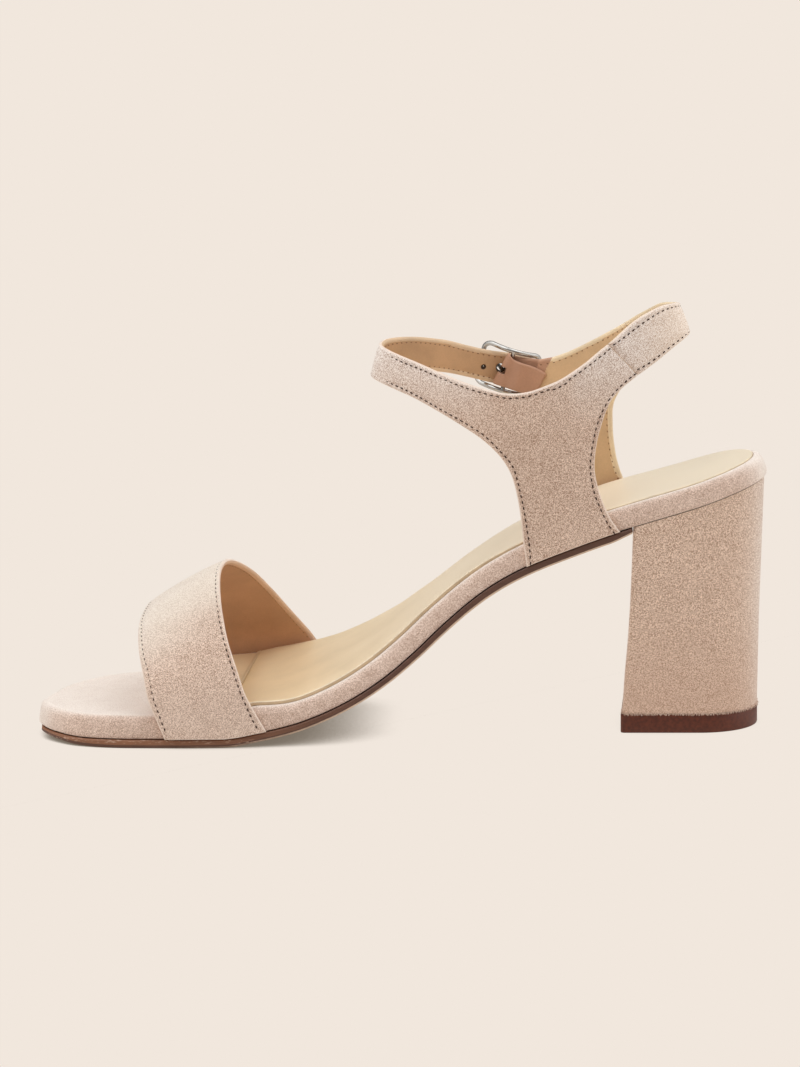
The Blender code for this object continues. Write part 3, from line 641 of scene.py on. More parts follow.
def bake_modifiers(piece):
    """Turn a piece with modifiers into a plain mesh."""
    bpy.context.view_layer.update()
    result = bpy.data.meshes.new_from_object(piece.evaluated_get(bpy.context.evaluated_depsgraph_get()))
    piece.modifiers.clear()
    old = piece.data
    piece.data = result
    bpy.data.meshes.remove(old)
    result.name = piece.name
    return piece


def ring_strip(ring, around):
    """Quads between one ring of points and the next."""
    low = ring * around + np.arange(around)
    ahead = np.roll(low, -1)
    return np.column_stack((low, ahead, around + ahead, around + low)).tolist()


def layered(name, pairs, levels, finishes, ring_finish, cap_finish):
    """A sole layer from outlines at several levels (height, inset, relief), with a grid on both faces."""
    rings = []
    flats = []
    for height, distance, relief in levels:
        edges = inset(pairs, distance)
        flats.append(edges)
        rings.append([sole_point(e[:, 0], e[:, 1], height + relief(e[:, 0], side))
                      for side, e in enumerate(edges)])
    count = len(pairs[0])
    around = 2 * count
    points = [np.vstack((medial, lateral[::-1])) for medial, lateral in rings]
    faces = []
    finish_of = []
    for ring in range(len(rings) - 1):
        faces.extend(ring_strip(ring, around))
        finish_of.extend([ring_finish[ring]] * around)
    total = len(rings) * around
    for ring, coat in ((0, cap_finish[0]), (len(rings) - 1, cap_finish[1])):
        height, _, relief = levels[ring]
        medial, lateral = flats[ring]
        across = np.linspace(0.0, 1.0, ACROSS_SOLE + 1)[None, 1:-1]
        s = medial[1:-1, :1] + across * (lateral[1:-1, :1] - medial[1:-1, :1])
        y = medial[1:-1, 1:] + across * (lateral[1:-1, 1:] - medial[1:-1, 1:])
        points.append(sole_point(s, y, height + relief(s, across)).reshape(-1, 3))
        base = ring * around
        inner = total + np.arange((count - 2) * (ACROSS_SOLE - 1)).reshape(count - 2, ACROSS_SOLE - 1)
        total += inner.size
        left = base + np.arange(1, count - 1)[:, None]
        right = base + around - 1 - np.arange(1, count - 1)[:, None]
        grid = np.hstack((left, inner, right))
        cap = quads(grid).tolist()
        cap.append([base, *grid[0].tolist(), base + around - 1])
        cap.append([base + count - 1, *grid[-1].tolist(), base + count])
        faces.extend(cap)
        finish_of.extend([coat] * len(cap))
    return add_piece(name, np.vstack(points), faces, finishes, finish_of)


def stacked(name, rings, finishes):
    """A block from rings of paired medial and lateral points, closed by rungs between the pairs."""
    points = [np.vstack((medial, lateral[::-1])) for medial, lateral in rings]
    count = len(rings[0][0])
    around = 2 * count
    faces = []
    for ring in range(len(rings) - 1):
        faces.extend(ring_strip(ring, around))
    for base in (0, (len(rings) - 1) * around):
        last = base + around - 1
        faces.extend([base + k, base + k + 1, last - 1 - k, last - k] for k in range(count - 1))
    return add_piece(name, np.vstack(points), faces, finishes)


def distance_to(points, lines):
    """Distance of each point from the nearest of several lines of points."""
    best = np.full(len(points), np.inf)
    for line in lines:
        for a, b in zip(line[:-1], line[1:]):
            way = b - a
            share = np.clip((points - a) @ way / max(way @ way, 1e-9), 0.0, 1.0)
            np.minimum(best, np.linalg.norm(points - a - share[:, None] * way, axis=1), out=best)
    return best


def rounded(near, radius):
    """Share of a wall's full thickness at a distance from an edge with this radius."""
    return np.sqrt(1.0 - (1.0 - np.minimum(near, radius) / radius) ** 2)


def leather_wall(name, face, normals, stitched, finishes, wall=WALL, unlined=None):
    """A leather wall with rounded edges, suede outside and lining inside, that sinks in under its stitches.

    The first and last rows are cut ends. The third finish is for the rim of the lining, a lighter copy as a
    painted highlight, and the fourth for where unlined says that there is none.
    """
    sizes = bpy.context.scene.sandal_sizes
    rows, columns = face.shape[:2]
    points = face.reshape(-1, 3)
    out = normals.reshape(-1, 3)
    half = wall / 2.0
    near = distance_to(points, (face[:, 0], face[:, -1]))
    rise = half * rounded(near, half) * rounded(distance_to(points, (face[0], face[-1])), sizes.cut_round)
    from_row = (distance_to(points, stitched) - sizes.stitch_inset) / sizes.trough_width
    sunk = sizes.trough_depth * np.exp(-from_row ** 2) * rise / half
    middle = points - half * out
    outer = middle + (rise - sunk)[:, None] * out
    inner = (middle - (rise - LINING_TROUGH * sunk)[:, None] * out).reshape(rows, columns, 3)[1:-1, 1:-1]
    front = np.arange(rows * columns).reshape(rows, columns)
    back = front.copy()
    back[1:-1, 1:-1] = rows * columns + np.arange((rows - 2) * (columns - 2)).reshape(rows - 2, columns - 2)
    outer_faces = quads(front)
    inner_faces = quads(back)[:, ::-1]
    # Painted highlight: inside faces near an edge take the lining's lighter rim copy.
    inside = np.where(near[outer_faces].min(axis=1) < sizes.rim, 2, 1)
    if unlined is not None:
        inside[unlined(points)[outer_faces].all(axis=1)] = 3
    finish_of = np.concatenate((np.zeros(len(outer_faces)), inside))
    edge = np.minimum(near, EDGE_REACH)
    edge = np.concatenate((edge, edge.reshape(rows, columns)[1:-1, 1:-1].ravel()))
    vertices = np.vstack((outer, inner.reshape(-1, 3)))
    faces = [*outer_faces.tolist(), *inner_faces.tolist()]
    return add_piece(name, vertices, faces, finishes, finish_of, edge, WALL_CREASE)


def eased_line(line):
    """A line of points or ways with its small kinks taken out."""
    for _ in range(LINE_ROUNDS):
        line = np.vstack((line[:1], 0.25 * line[:-2] + 0.5 * line[1:-1] + 0.25 * line[2:], line[-1:]))
    return line


def inset_line(edge, out, inside, distance, margin):
    """A line that follows an edge over the face at a distance, ending short of the edge's ends."""
    inward = unit(eased_line(np.cross(out, np.gradient(edge, axis=0))))
    line = edge + distance * inward * np.sign(np.sum(inward * (inside - edge)))
    run = np.concatenate(((0.0,), np.cumsum(np.linalg.norm(np.diff(line, axis=0), axis=1))))
    kept = (run >= margin) & (run <= run[-1] - margin)
    return line[kept], kept


def tube(path, radius, sides, closed):
    """Points and faces of a round rod along a path, as a ring or with flat ends.

    It has one radius, or one for each place.
    """
    path = np.array(path)
    ahead = np.roll(path, -1, axis=0) - np.roll(path, 1, axis=0) if closed else np.gradient(path, axis=0)
    points = []
    for place, way, radius in zip(path, ahead, np.broadcast_to(radius, len(path))):
        way = Vector(way).normalized()
        first = way.cross(Vector((0.0, 1.0, 0.0)))
        if first.length < 0.3:
            first = way.cross(Vector((0.0, 0.0, 1.0)))
        first.normalize()
        second = np.array(way.cross(first))
        for turn in np.arange(sides) * 2.0 * math.pi / sides:
            points.append(place + radius * (math.cos(turn) * np.array(first) + math.sin(turn) * second))
    index = np.arange(len(path) * sides).reshape(len(path), sides)
    index = np.hstack((index, index[:, :1]))
    if closed:
        index = np.vstack((index, index[:1]))
    faces = quads(index).tolist()
    if not closed:
        faces += [list(range(sides)), [(len(path) - 1) * sides + k for k in range(sides)]]
    return np.array(points), faces


def cut(target, tool, operation="DIFFERENCE"):
    """Use one piece on another and remove it."""
    change = target.modifiers.new(tool.name, "BOOLEAN")
    change.operation = operation
    change.solver = "EXACT"
    change.material_mode = "TRANSFER"
    change.object = tool
    bake_modifiers(target)
    bpy.data.objects.remove(tool)


def punch(target, place, radius, closed, coat):
    """A round hole straight through a strap that faces sideways, drawn together on its suede side."""
    path = [place + np.array((0.0, shift, 0.0)) for shift in (-HOLE_REACH, -0.3, 0.1, HOLE_REACH)]
    points, faces = tube(path, radius * np.array((1.0, 1.0, closed, closed)), PUNCH_SIDES, False)
    cut(target, add_piece("punch", points, faces, [coat]))


class Wire:
    """An output socket in a finish's node tree, so that sums on it can be written in Python."""

    def __init__(self, tree, socket=None):
        self.tree = tree
        self.socket = socket

    def node(self, kind, settings=None, sockets=None, output=0):
        """One output of a new node, made with its settings and then the values or wires of its sockets."""
        made = self.tree.nodes.new(kind)
        for key, value in (settings or {}).items():
            setattr(made, key, value)
        for key, value in (sockets or {}).items():
            if isinstance(value, Wire):
                self.tree.links.new(value.socket, made.inputs[key])
            else:
                made.inputs[key].default_value = value
        return Wire(self.tree, made.outputs[output])

    def _math(self, operation, first, second):
        return self.node("ShaderNodeMath", {"operation": operation}, {0: first, 1: second})

    def __add__(self, other):
        return self._math("ADD", self, other)

    __radd__ = __add__

    def __sub__(self, other):
        return self._math("SUBTRACT", self, other)

    def __rsub__(self, other):
        return self._math("SUBTRACT", other, self)

    def __mul__(self, other):
        return self._math("MULTIPLY", self, other)

    __rmul__ = __mul__

    def noise(self, scale, detail=2.0, roughness=0.5, distortion=0.0):
        sockets = {"Vector": self, "Scale": scale, "Detail": detail, "Roughness": roughness,
                   "Distortion": distortion}
        return self.node("ShaderNodeTexNoise", None, sockets)

    def part(self, axis):
        """One coordinate of a place or a way."""
        return self.node("ShaderNodeSeparateXYZ", None, {0: self}, axis)

    def swing(self, amount):
        """This, from 0 to 1, as a change of a given size either way."""
        return (self - 0.5) * amount

    def stretched(self, scale):
        return self.node("ShaderNodeMapping", None, {"Vector": self, "Scale": scale})

    def between(self, low, high):
        """0 where this is at or below low and 1 where it is at or above high, eased."""
        sockets = {"Value": self, "From Min": low, "From Max": high}
        return self.node("ShaderNodeMapRange", {"interpolation_type": "SMOOTHSTEP"}, sockets)

    def blend(self, first, second):
        """The first colour where this is 0 and the second where it is 1."""
        pair = [colour if isinstance(colour, Wire) else (*colour, 1.0) for colour in (first, second)]
        return self.node("ShaderNodeMix", {"data_type": "RGBA"}, {0: self, 6: pair[0], 7: pair[1]}, 2)

    def tinted(self, factor):
        """This colour times a factor."""
        return self.node("ShaderNodeVectorMath", {"operation": "SCALE"}, {0: self, 3: factor})

    def bump(self, strength, distance):
        return self.node("ShaderNodeBump", None, {"Height": self, "Strength": strength, "Distance": distance})

    def attribute(self, name):
        return self.node("ShaderNodeAttribute", {"attribute_name": name}, None, "Fac")


class Finish:
    """A material with one Principled shader: constants on its sockets, wires for what varies."""

    def __init__(self, name, **constants):
        self.material = bpy.data.materials.new(name)
        self.material.use_nodes = True
        self.tree = self.material.node_tree
        self.shader = next(n for n in self.tree.nodes if n.type == "BSDF_PRINCIPLED")
        for key, value in constants.items():
            self.shader.inputs[key.replace("_", " ")].default_value = value
        self.place = Wire(self.tree).node("ShaderNodeTexCoord", output="Object")

    def feed(self, **wires):
        for key, wire in wires.items():
            self.tree.links.new(wire.socket, self.shader.inputs[key.replace("_", " ")])
        return self.material


def toned(colour, factor):
    """A colour times one factor or one for each channel."""
    return tuple(min(1.0, channel * part) for channel, part in zip(colour, np.broadcast_to(factor, 3)))


def suede_finish(name, colour, mottle, pale=0.35, rough=1.0, dark_foot=0.0, edged=False):
    """Suede with a short nap: warm hollows and pale grain, paler where it faces fore or aft as a painted
    sheen.

    An edged one is also paler at its foot and along its cut edges, with a painted highlight on top and a
    painted sheen high on the ankle straps.
    """
    made = Finish(name, Sheen_Weight=0.3, Sheen_Roughness=0.4, Sheen_Tint=(1.0, 0.96, 0.92, 1.0),
                  Specular_IOR_Level=0.1)
    place = made.place
    patches = place.noise(60.0, 2.0, 0.5, 0.4)
    clouds = place.noise(260.0, 2.0, 0.5, 0.3)
    grain = place.noise(3000.0, 2.0, 0.6, 0.7)
    pile = place.noise(6000.0, 2.0, 0.6)
    nap = grain.swing(6.7 * rough) + pile.swing(4.1 * rough)
    tone = 0.5 + patches.swing(mottle) + clouds.swing(mottle) + nap
    base = tone.between(0.05, 0.95).blend(toned(colour, NAP_HOLLOW), toned(colour, NAP_TIP))
    # Painted sheen: paler where the suede faces fore, aft or up rather than to either side; pale sets how
    # much.
    facing = place.node("ShaderNodeNewGeometry", output="Normal")
    sideways = facing.part("Y")
    sheen_facing = 1.0 - sideways.node("ShaderNodeMath", {"operation": "ABSOLUTE"}, {0: sideways})
    base = (sheen_facing.between(0.1, 0.9) * (pale + tone * 0.5)).blend(base, SHEEN_SUEDE)
    height = place.part("Z")
    if dark_foot:
        low = 1.0 - height.between(0.005, 0.045)
        base = (low * dark_foot).blend(base, toned(colour, FOOT_SHADE))
    if edged:
        low = 1.0 - height.between(0.008, 0.03)
        base = (low * 0.15).blend(base, VAMP_FOOT_SUEDE)
        # Painted highlight: paler on faces turned upwards.
        base = (facing.part("Z").between(0.6, 0.9) * 0.55).blend(base, TOP_LIT_SUEDE)
        # Painted sheen high on the ankle straps, on faces not turned squarely to either side.
        wear_and_sheen = height.between(0.098, 0.128) * sheen_facing.between(0.0, 0.1)
        base = (wear_and_sheen * (0.3 + tone * 0.4)).blend(base, STRAP_SHEEN_SUEDE)
        at_back = place.part("X").between(0.07, 0.09) * height.between(0.1, 0.115)
        base = (at_back * 0.35).blend(base, BACK_SUEDE)
        fray = place.attribute("edge") + grain.swing(0.4)
        base = fray.between(0.1, 0.55).blend(FRAYED_SUEDE, base)
    relief = grain * 0.7 + pile * 0.3 + clouds * 0.5
    return made.feed(Base_Color=base, Roughness=0.86 + grain.swing(0.2), Normal=relief.bump(0.5, 0.0003))


def lining_finish(name, colour, painted_foot_light=0.0):
    """Smooth lining leather with fine pores and faint clouds, and painted light towards the sole where asked
    for.
    """
    made = Finish(name, Specular_IOR_Level=0.4)
    place = made.place
    clouds = place.noise(70.0, 3.0, 0.55)
    pores = place.noise(1900.0, 2.0, 0.55)
    tone = 0.5 + clouds.swing(1.1) + pores.swing(0.35)
    base = tone.between(0.1, 0.9).blend(toned(colour, 0.84), toned(colour, 1.12))
    # Painted light: lighter low down, where the lining lies in shade, and a little darker higher up.
    if painted_foot_light:
        above = place.part("Z").between(0.016, 0.03)
        base = base.tinted(1.0 + 0.8 * painted_foot_light - above * (1.1 * painted_foot_light))
    return made.feed(Base_Color=base, Roughness=0.5 + clouds.swing(0.25), Normal=pores.bump(0.2, 0.0001))


def sock_finish(name, ball, heel):
    """Insole leather with a soft gloss, creamier towards the heel, partly as a painted highlight, and scuffed
    where the foot stands.
    """
    made = Finish(name, Specular_IOR_Level=0.45, Coat_Roughness=0.35)
    place = made.place
    along = place.part("X")
    clouds = place.noise(55.0, 3.0, 0.55, 0.3)
    pores = place.noise(2100.0, 2.0, 0.55)
    # Partly the leather's own paler seat, partly a painted highlight: the cream starts early, over the waist,
    # in place of a gloss reflection.
    towards_heel = (along + clouds.swing(0.05)).between(-0.045, 0.06)
    tone = 0.5 + clouds.swing(0.9) + pores.swing(0.25)
    wear_and_sheen = tone.between(0.1, 0.9).blend(toned(ball, 0.88), toned(ball, 1.08))
    base = towards_heel.blend(wear_and_sheen, heel)
    return made.feed(Base_Color=base, Roughness=0.42 + clouds.swing(0.3), Coat_Weight=clouds * 0.25,
                     Normal=pores.bump(0.15, 0.0001))


def sole_edge_finish(name, toe, waist):
    """Stained sole edge, waxed along its length, scuffed paler at the toe and dark towards the heel."""
    made = Finish(name, Specular_IOR_Level=0.4)
    place = made.place
    streaks = place.stretched((90.0, 500.0, 1100.0)).noise(1.0, 3.0, 0.6)
    scuffs = place.noise(420.0, 3.0, 0.6)
    along = place.part("X")
    stain = (along + scuffs.swing(0.03)).between(-0.09, 0.0).blend(toe, waist)
    height = place.part("Z")
    flecks = place.stretched((600.0, 600.0, 2400.0)).noise(1.0, 2.0, 0.6).between(0.54, 0.68)
    flecks = flecks * height.between(0.0013, 0.0018) * (1.0 - height.between(0.0024, 0.003))
    base = (flecks * 0.6).blend(stain.tinted(0.45 + streaks * 0.7 + scuffs * 0.4), SOLE_FLECK)
    return made.feed(Base_Color=base, Roughness=0.4 + scuffs * 0.25, Normal=streaks.bump(0.25, 0.0002))


def plain_leather_finish(name, colour):
    """Natural sole leather with long fibres and scuffs."""
    made = Finish(name, Specular_IOR_Level=0.35)
    place = made.place
    fibres = place.stretched((120.0, 700.0, 700.0)).noise(1.0, 3.0, 0.6)
    scuffs = place.noise(90.0, 4.0, 0.65)
    tone = 0.5 + scuffs.swing(0.9) + fibres.swing(0.6)
    base = tone.between(0.15, 0.85).blend(toned(colour, 0.8), toned(colour, 1.12))
    return made.feed(Base_Color=base, Roughness=0.55 + scuffs.swing(0.3), Normal=fibres.bump(0.2, 0.0002))


def lift_finish(name, colour):
    """Satin rubber with a faint speckle."""
    made = Finish(name, Specular_IOR_Level=0.4)
    specks = made.place.noise(900.0, 3.0, 0.6)
    smears = made.place.stretched((200.0, 200.0, 60.0)).noise(1.0, 3.0, 0.6)
    base = specks.between(0.3, 0.75).blend(toned(colour, 0.8), toned(colour, 1.35))
    return made.feed(Base_Color=base, Roughness=0.42 + smears * 0.2, Normal=specks.bump(0.15, 0.0001))


def metal_finish(name, colour):
    """Plated metal with faint smears."""
    made = Finish(name, Metallic=1.0)
    smears = made.place.noise(420.0, 3.0, 0.6)
    base = smears.between(0.3, 0.7).blend(toned(colour, 0.9), toned(colour, 1.1))
    return made.feed(Base_Color=base, Roughness=0.14 + smears * 0.14)


def thread_finish(name, colour):
    """Waxed thread with a fine twist."""
    made = Finish(name, Specular_IOR_Level=0.25)
    twist = made.place.noise(5200.0, 2.0, 0.5)
    base = twist.between(0.3, 0.7).blend(toned(colour, 0.7), toned(colour, 1.35))
    return made.feed(Base_Color=base, Roughness=0.6 + twist.swing(0.3), Normal=twist.bump(0.4, 0.00005))


def floor_finish(name, colour, reach):
    """Floor that shows its colour by its own even light, with a shade only close under the sandal."""
    made = Finish(name, Base_Color=(0.0, 0.0, 0.0, 1.0), Roughness=1.0, Specular_IOR_Level=0.0,
                  Emission_Strength=1.0)
    clear = made.place.node("ShaderNodeAmbientOcclusion", {"samples": 16}, {"Distance": reach}, "AO")
    return made.feed(Emission_Color=clear.between(0.05, 0.6).blend(toned(colour, FLOOR_SHADE), colour))


def finish(name):
    """The named material, made the first time it is asked for."""
    found = bpy.data.materials.get(name)
    if found:
        return found
    colours = bpy.context.scene.sandal_colours
    stage = bpy.context.scene.sandal_stage
    makers = {
        "strap_suede": lambda: suede_finish(name, colours.suede, mottle=0.35, edged=True),
        "wrap_suede": lambda: suede_finish(name, colours.wrap, mottle=0.3, pale=0.5, rough=0.3),
        "cover_suede": lambda: suede_finish(name, colours.cover, mottle=0.25, pale=0.15, dark_foot=0.4),
        "tab_suede": lambda: lining_finish(name, colours.tab),
        "lining": lambda: lining_finish(name, colours.lining),
        "lining_rim": lambda: lining_finish(name, toned(colours.lining, LIT_RIM_TONE)),
        "vamp_lining": lambda: lining_finish(name, colours.vamp_lining, painted_foot_light=0.28),
        "vamp_lining_rim": lambda: lining_finish(name, toned(colours.vamp_lining, LIT_RIM_TONE)),
        "quarter_lining": lambda: lining_finish(name, colours.quarter_lining),
        "quarter_lining_rim": lambda: lining_finish(name, toned(colours.quarter_lining, LIT_RIM_TONE)),
        "sock_leather": lambda: sock_finish(name, colours.sock, colours.seat),
        "cut_leather": lambda: plain_leather_finish(name, colours.cut),
        "rubbed_leather": lambda: plain_leather_finish(name, colours.lit_corner),
        "sole_edge": lambda: sole_edge_finish(name, colours.toe_edge, colours.waist_edge),
        "sole_shade": lambda: sole_edge_finish(name, colours.waist_edge, colours.waist_edge),
        "sole_bevel": lambda: sole_edge_finish(name, colours.waist_edge, colours.bevel),
        "hole_leather": lambda: plain_leather_finish(name, colours.hole),
        "sole_leather": lambda: plain_leather_finish(name, colours.sole),
        "lift_rubber": lambda: lift_finish(name, colours.lift),
        "buckle_metal": lambda: metal_finish(name, colours.metal),
        "prong_metal": lambda: metal_finish(name, colours.prong),
        "dark_thread": lambda: thread_finish(name, colours.thread),
        "lining_thread": lambda: thread_finish(name, colours.lining_thread),
        "faint_thread": lambda: thread_finish(name, colours.faint_thread),
        "floor_paint": lambda: floor_finish(name, colours.floor, stage.shade_reach * MM),
    }
    return makers[name]()


def linings(name):
    """Finishes of a leather wall with this lining: outside, inside, along its rims as a painted highlight,
    and where unlined.
    """
    return [finish("strap_suede"), finish(name), finish(name + "_rim"), finish("tab_suede")]


def rows_tree():
    """Geometry nodes that set small rounded pieces along lines, such as stitches or loose fibres."""
    found = bpy.data.node_groups.get("pieces_along_rows")
    if found:
        return found
    tree = bpy.data.node_groups.new("pieces_along_rows", "GeometryNodeTree")
    tree.interface.new_socket("Rows", in_out="INPUT", socket_type="NodeSocketGeometry")
    for name in ("Pitch", "Length", "Width", "Height", "Tilt"):
        tree.interface.new_socket(name, in_out="INPUT", socket_type="NodeSocketFloat")
    tree.interface.new_socket("Seed", in_out="INPUT", socket_type="NodeSocketInt")
    tree.interface.new_socket("Finish", in_out="INPUT", socket_type="NodeSocketMaterial")
    tree.interface.new_socket("Pieces", in_out="OUTPUT", socket_type="NodeSocketGeometry")

    def node(kind, settings=None, **sockets):
        made = tree.nodes.new(kind)
        for key, value in (settings or {}).items():
            setattr(made, key, value)
        for key, value in sockets.items():
            socket = made.inputs[key.replace("_", " ")]
            if isinstance(value, bpy.types.NodeSocket):
                tree.links.new(value, socket)
            else:
                socket.default_value = value
        return made

    given = node("NodeGroupInput").outputs
    line = node("GeometryNodeMeshToCurve", Mesh=given["Rows"]).outputs[0]
    places = node("GeometryNodeResampleCurve", {"mode": "LENGTH"}, Curve=line,
                  Length=given["Pitch"]).outputs[0]
    bead = node("GeometryNodeMeshUVSphere", Segments=7, Rings=5, Radius=0.5).outputs["Mesh"]
    vectors = {"data_type": "FLOAT_VECTOR"}
    along = node("GeometryNodeInputNamedAttribute", vectors, Name="along").outputs[0]
    outward = node("GeometryNodeInputNamedAttribute", vectors, Name="outward").outputs[0]
    laid = node("FunctionNodeAlignRotationToVector", {"axis": "X"}, Vector=along).outputs[0]
    faced = node("FunctionNodeAlignRotationToVector", {"axis": "Z", "pivot_axis": "X"}, Rotation=laid,
                 Vector=outward).outputs[0]
    other_way = node("ShaderNodeMath", {"operation": "MULTIPLY"}).inputs
    tree.links.new(given["Tilt"], other_way[0])
    other_way[1].default_value = -1.0
    lean = node("FunctionNodeRandomValue", vectors, Seed=given["Seed"])
    tree.links.new(other_way[0].node.outputs[0], lean.inputs[0])
    tree.links.new(given["Tilt"], lean.inputs[1])
    leant = node("FunctionNodeEulerToRotation", Euler=lean.outputs[0]).outputs[0]
    turned = node("FunctionNodeRotateRotation", {"rotation_space": "LOCAL"}, Rotation=faced,
                  Rotate_By=leant).outputs[0]
    size = node("ShaderNodeCombineXYZ", X=given["Length"], Y=given["Width"], Z=given["Height"]).outputs[0]
    set_out = node("GeometryNodeInstanceOnPoints", Points=places, Instance=bead, Rotation=turned,
                   Scale=size).outputs[0]
    real = node("GeometryNodeRealizeInstances", Geometry=set_out).outputs[0]
    soft = node("GeometryNodeSetShadeSmooth", Geometry=real).outputs[0]
    dressed = node("GeometryNodeSetMaterial", Geometry=soft, Material=given["Finish"]).outputs[0]
    node("NodeGroupOutput", Pieces=dressed)
    return tree


def set_along(name, rows, **values):
    """A piece made of small parts along rows of (places, directions, outward ways), all in metres."""
    mesh = bpy.data.meshes.new(name)
    places = np.vstack([row[0] for row in rows])
    edges = []
    start = 0
    for row in rows:
        edges.extend((k, k + 1) for k in range(start, start + len(row[0]) - 1))
        start += len(row[0])
    mesh.from_pydata(places.tolist(), edges, [])
    for column, attribute in ((1, "along"), (2, "outward")):
        ways = np.vstack([row[column] for row in rows]).astype(np.float32)
        mesh.attributes.new(attribute, "FLOAT_VECTOR", "POINT").data.foreach_set("vector", ways.ravel())
    piece = placed(name, mesh)
    change = piece.modifiers.new("rows", "NODES")
    change.node_group = rows_tree()
    for item in change.node_group.interface.items_tree:
        if item.in_out == "INPUT" and item.name in values:
            change[item.identifier] = values[item.name]
    return bake_modifiers(piece)


def on_face(piece, line, outward, lift):
    """A line of places in millimetres laid on a piece's nearest face, as a row of small parts."""
    mesh = piece.data
    tree = BVHTree.FromPolygons([v.co for v in mesh.vertices], [p.vertices for p in mesh.polygons])
    places = []
    ways = []
    for place, way in zip(metres(line + outward * FACE_SEARCH), outward):
        found, normal, _, _ = tree.find_nearest(place)
        normal = np.array(normal) if np.dot(normal, way) > 0.0 else -np.array(normal)
        places.append(np.array(found) + normal * lift * MM)
        ways.append(normal)
    places = eased_line(np.array(places))
    return places, unit(np.gradient(places, axis=0)), eased_line(np.array(ways))


def sew(piece, lines, inner_thread, lifts=None):
    """Dark stitches outside and smaller ones inside, along lines of (places, outward ways) on a piece."""
    sizes = bpy.context.scene.sandal_sizes
    lifts = lifts or [sizes.stitch_lift] * len(lines)
    rows = [on_face(piece, line, out, lift) for (line, out), lift in zip(lines, lifts)]
    back_rows = [on_face(piece, line - out * WALL, -out, 0.0) for line, out in lines]
    common = {"Pitch": sizes.stitch_pitch * MM, "Length": sizes.stitch_length * MM,
              "Width": sizes.stitch_width * MM, "Height": sizes.stitch_height * MM, "Tilt": STITCH_TILT,
              "Seed": sizes.seed}
    settle(set_along(piece.name + "_stitches", rows, Finish=finish("dark_thread"), **common), None)
    common.update({"Length": sizes.stitch_length * INNER_LENGTH * MM,
                   "Width": sizes.stitch_width * INNER_WIDTH * MM,
                   "Height": sizes.stitch_height * INNER_HEIGHT * MM})
    settle(set_along(piece.name + "_lining_stitches", back_rows, Finish=finish(inner_thread), **common), None)


def size_property(name, description, default):
    return FloatProperty(name=name, description=description, default=default, min=0.0, soft_max=10.0)


def colour_property(name, description, default):
    return FloatVectorProperty(name=name, description=description, default=default, subtype="COLOR", min=0.0,
                               max=1.0)


class SandalSizes(bpy.types.PropertyGroup):
    """Sizes of the sewing, in millimetres."""

    stitch_pitch: size_property("Stitch pitch", "From one stitch to the next, in mm", 2.05)
    stitch_length: size_property("Stitch length", "Thread that shows in one stitch, in mm", 1.25)
    stitch_width: size_property("Stitch width", "Thread width, in mm", 0.48)
    stitch_height: size_property("Stitch height", "Thread height, in mm", 0.4)
    stitch_lift: size_property("Stitch lift", "Middle of the thread above its trough, in mm", 0.05)
    stitch_inset: size_property("Stitch inset", "From an edge to its row of stitches, in mm", 1.6)
    trough_depth: size_property("Trough depth", "How far stitches pull the suede in, in mm", 0.22)
    cut_round: size_property("Cut end", "Rounding of a cut end at a seam, in mm", 0.12)
    trough_width: size_property("Trough width", "Half width of that trough, in mm", 0.6)
    # The rim is a painted highlight: a lighter copy of the lining near an edge.
    rim: size_property("Rim", "Pale rim of a lining along an edge, in mm", 1.2)
    nap_fringe: size_property("Nap fringe", "Loose fibres at the heel's foot, in mm", 1.7)
    seed: IntProperty(name="Seed", description="Seed of the small irregularities", default=7)


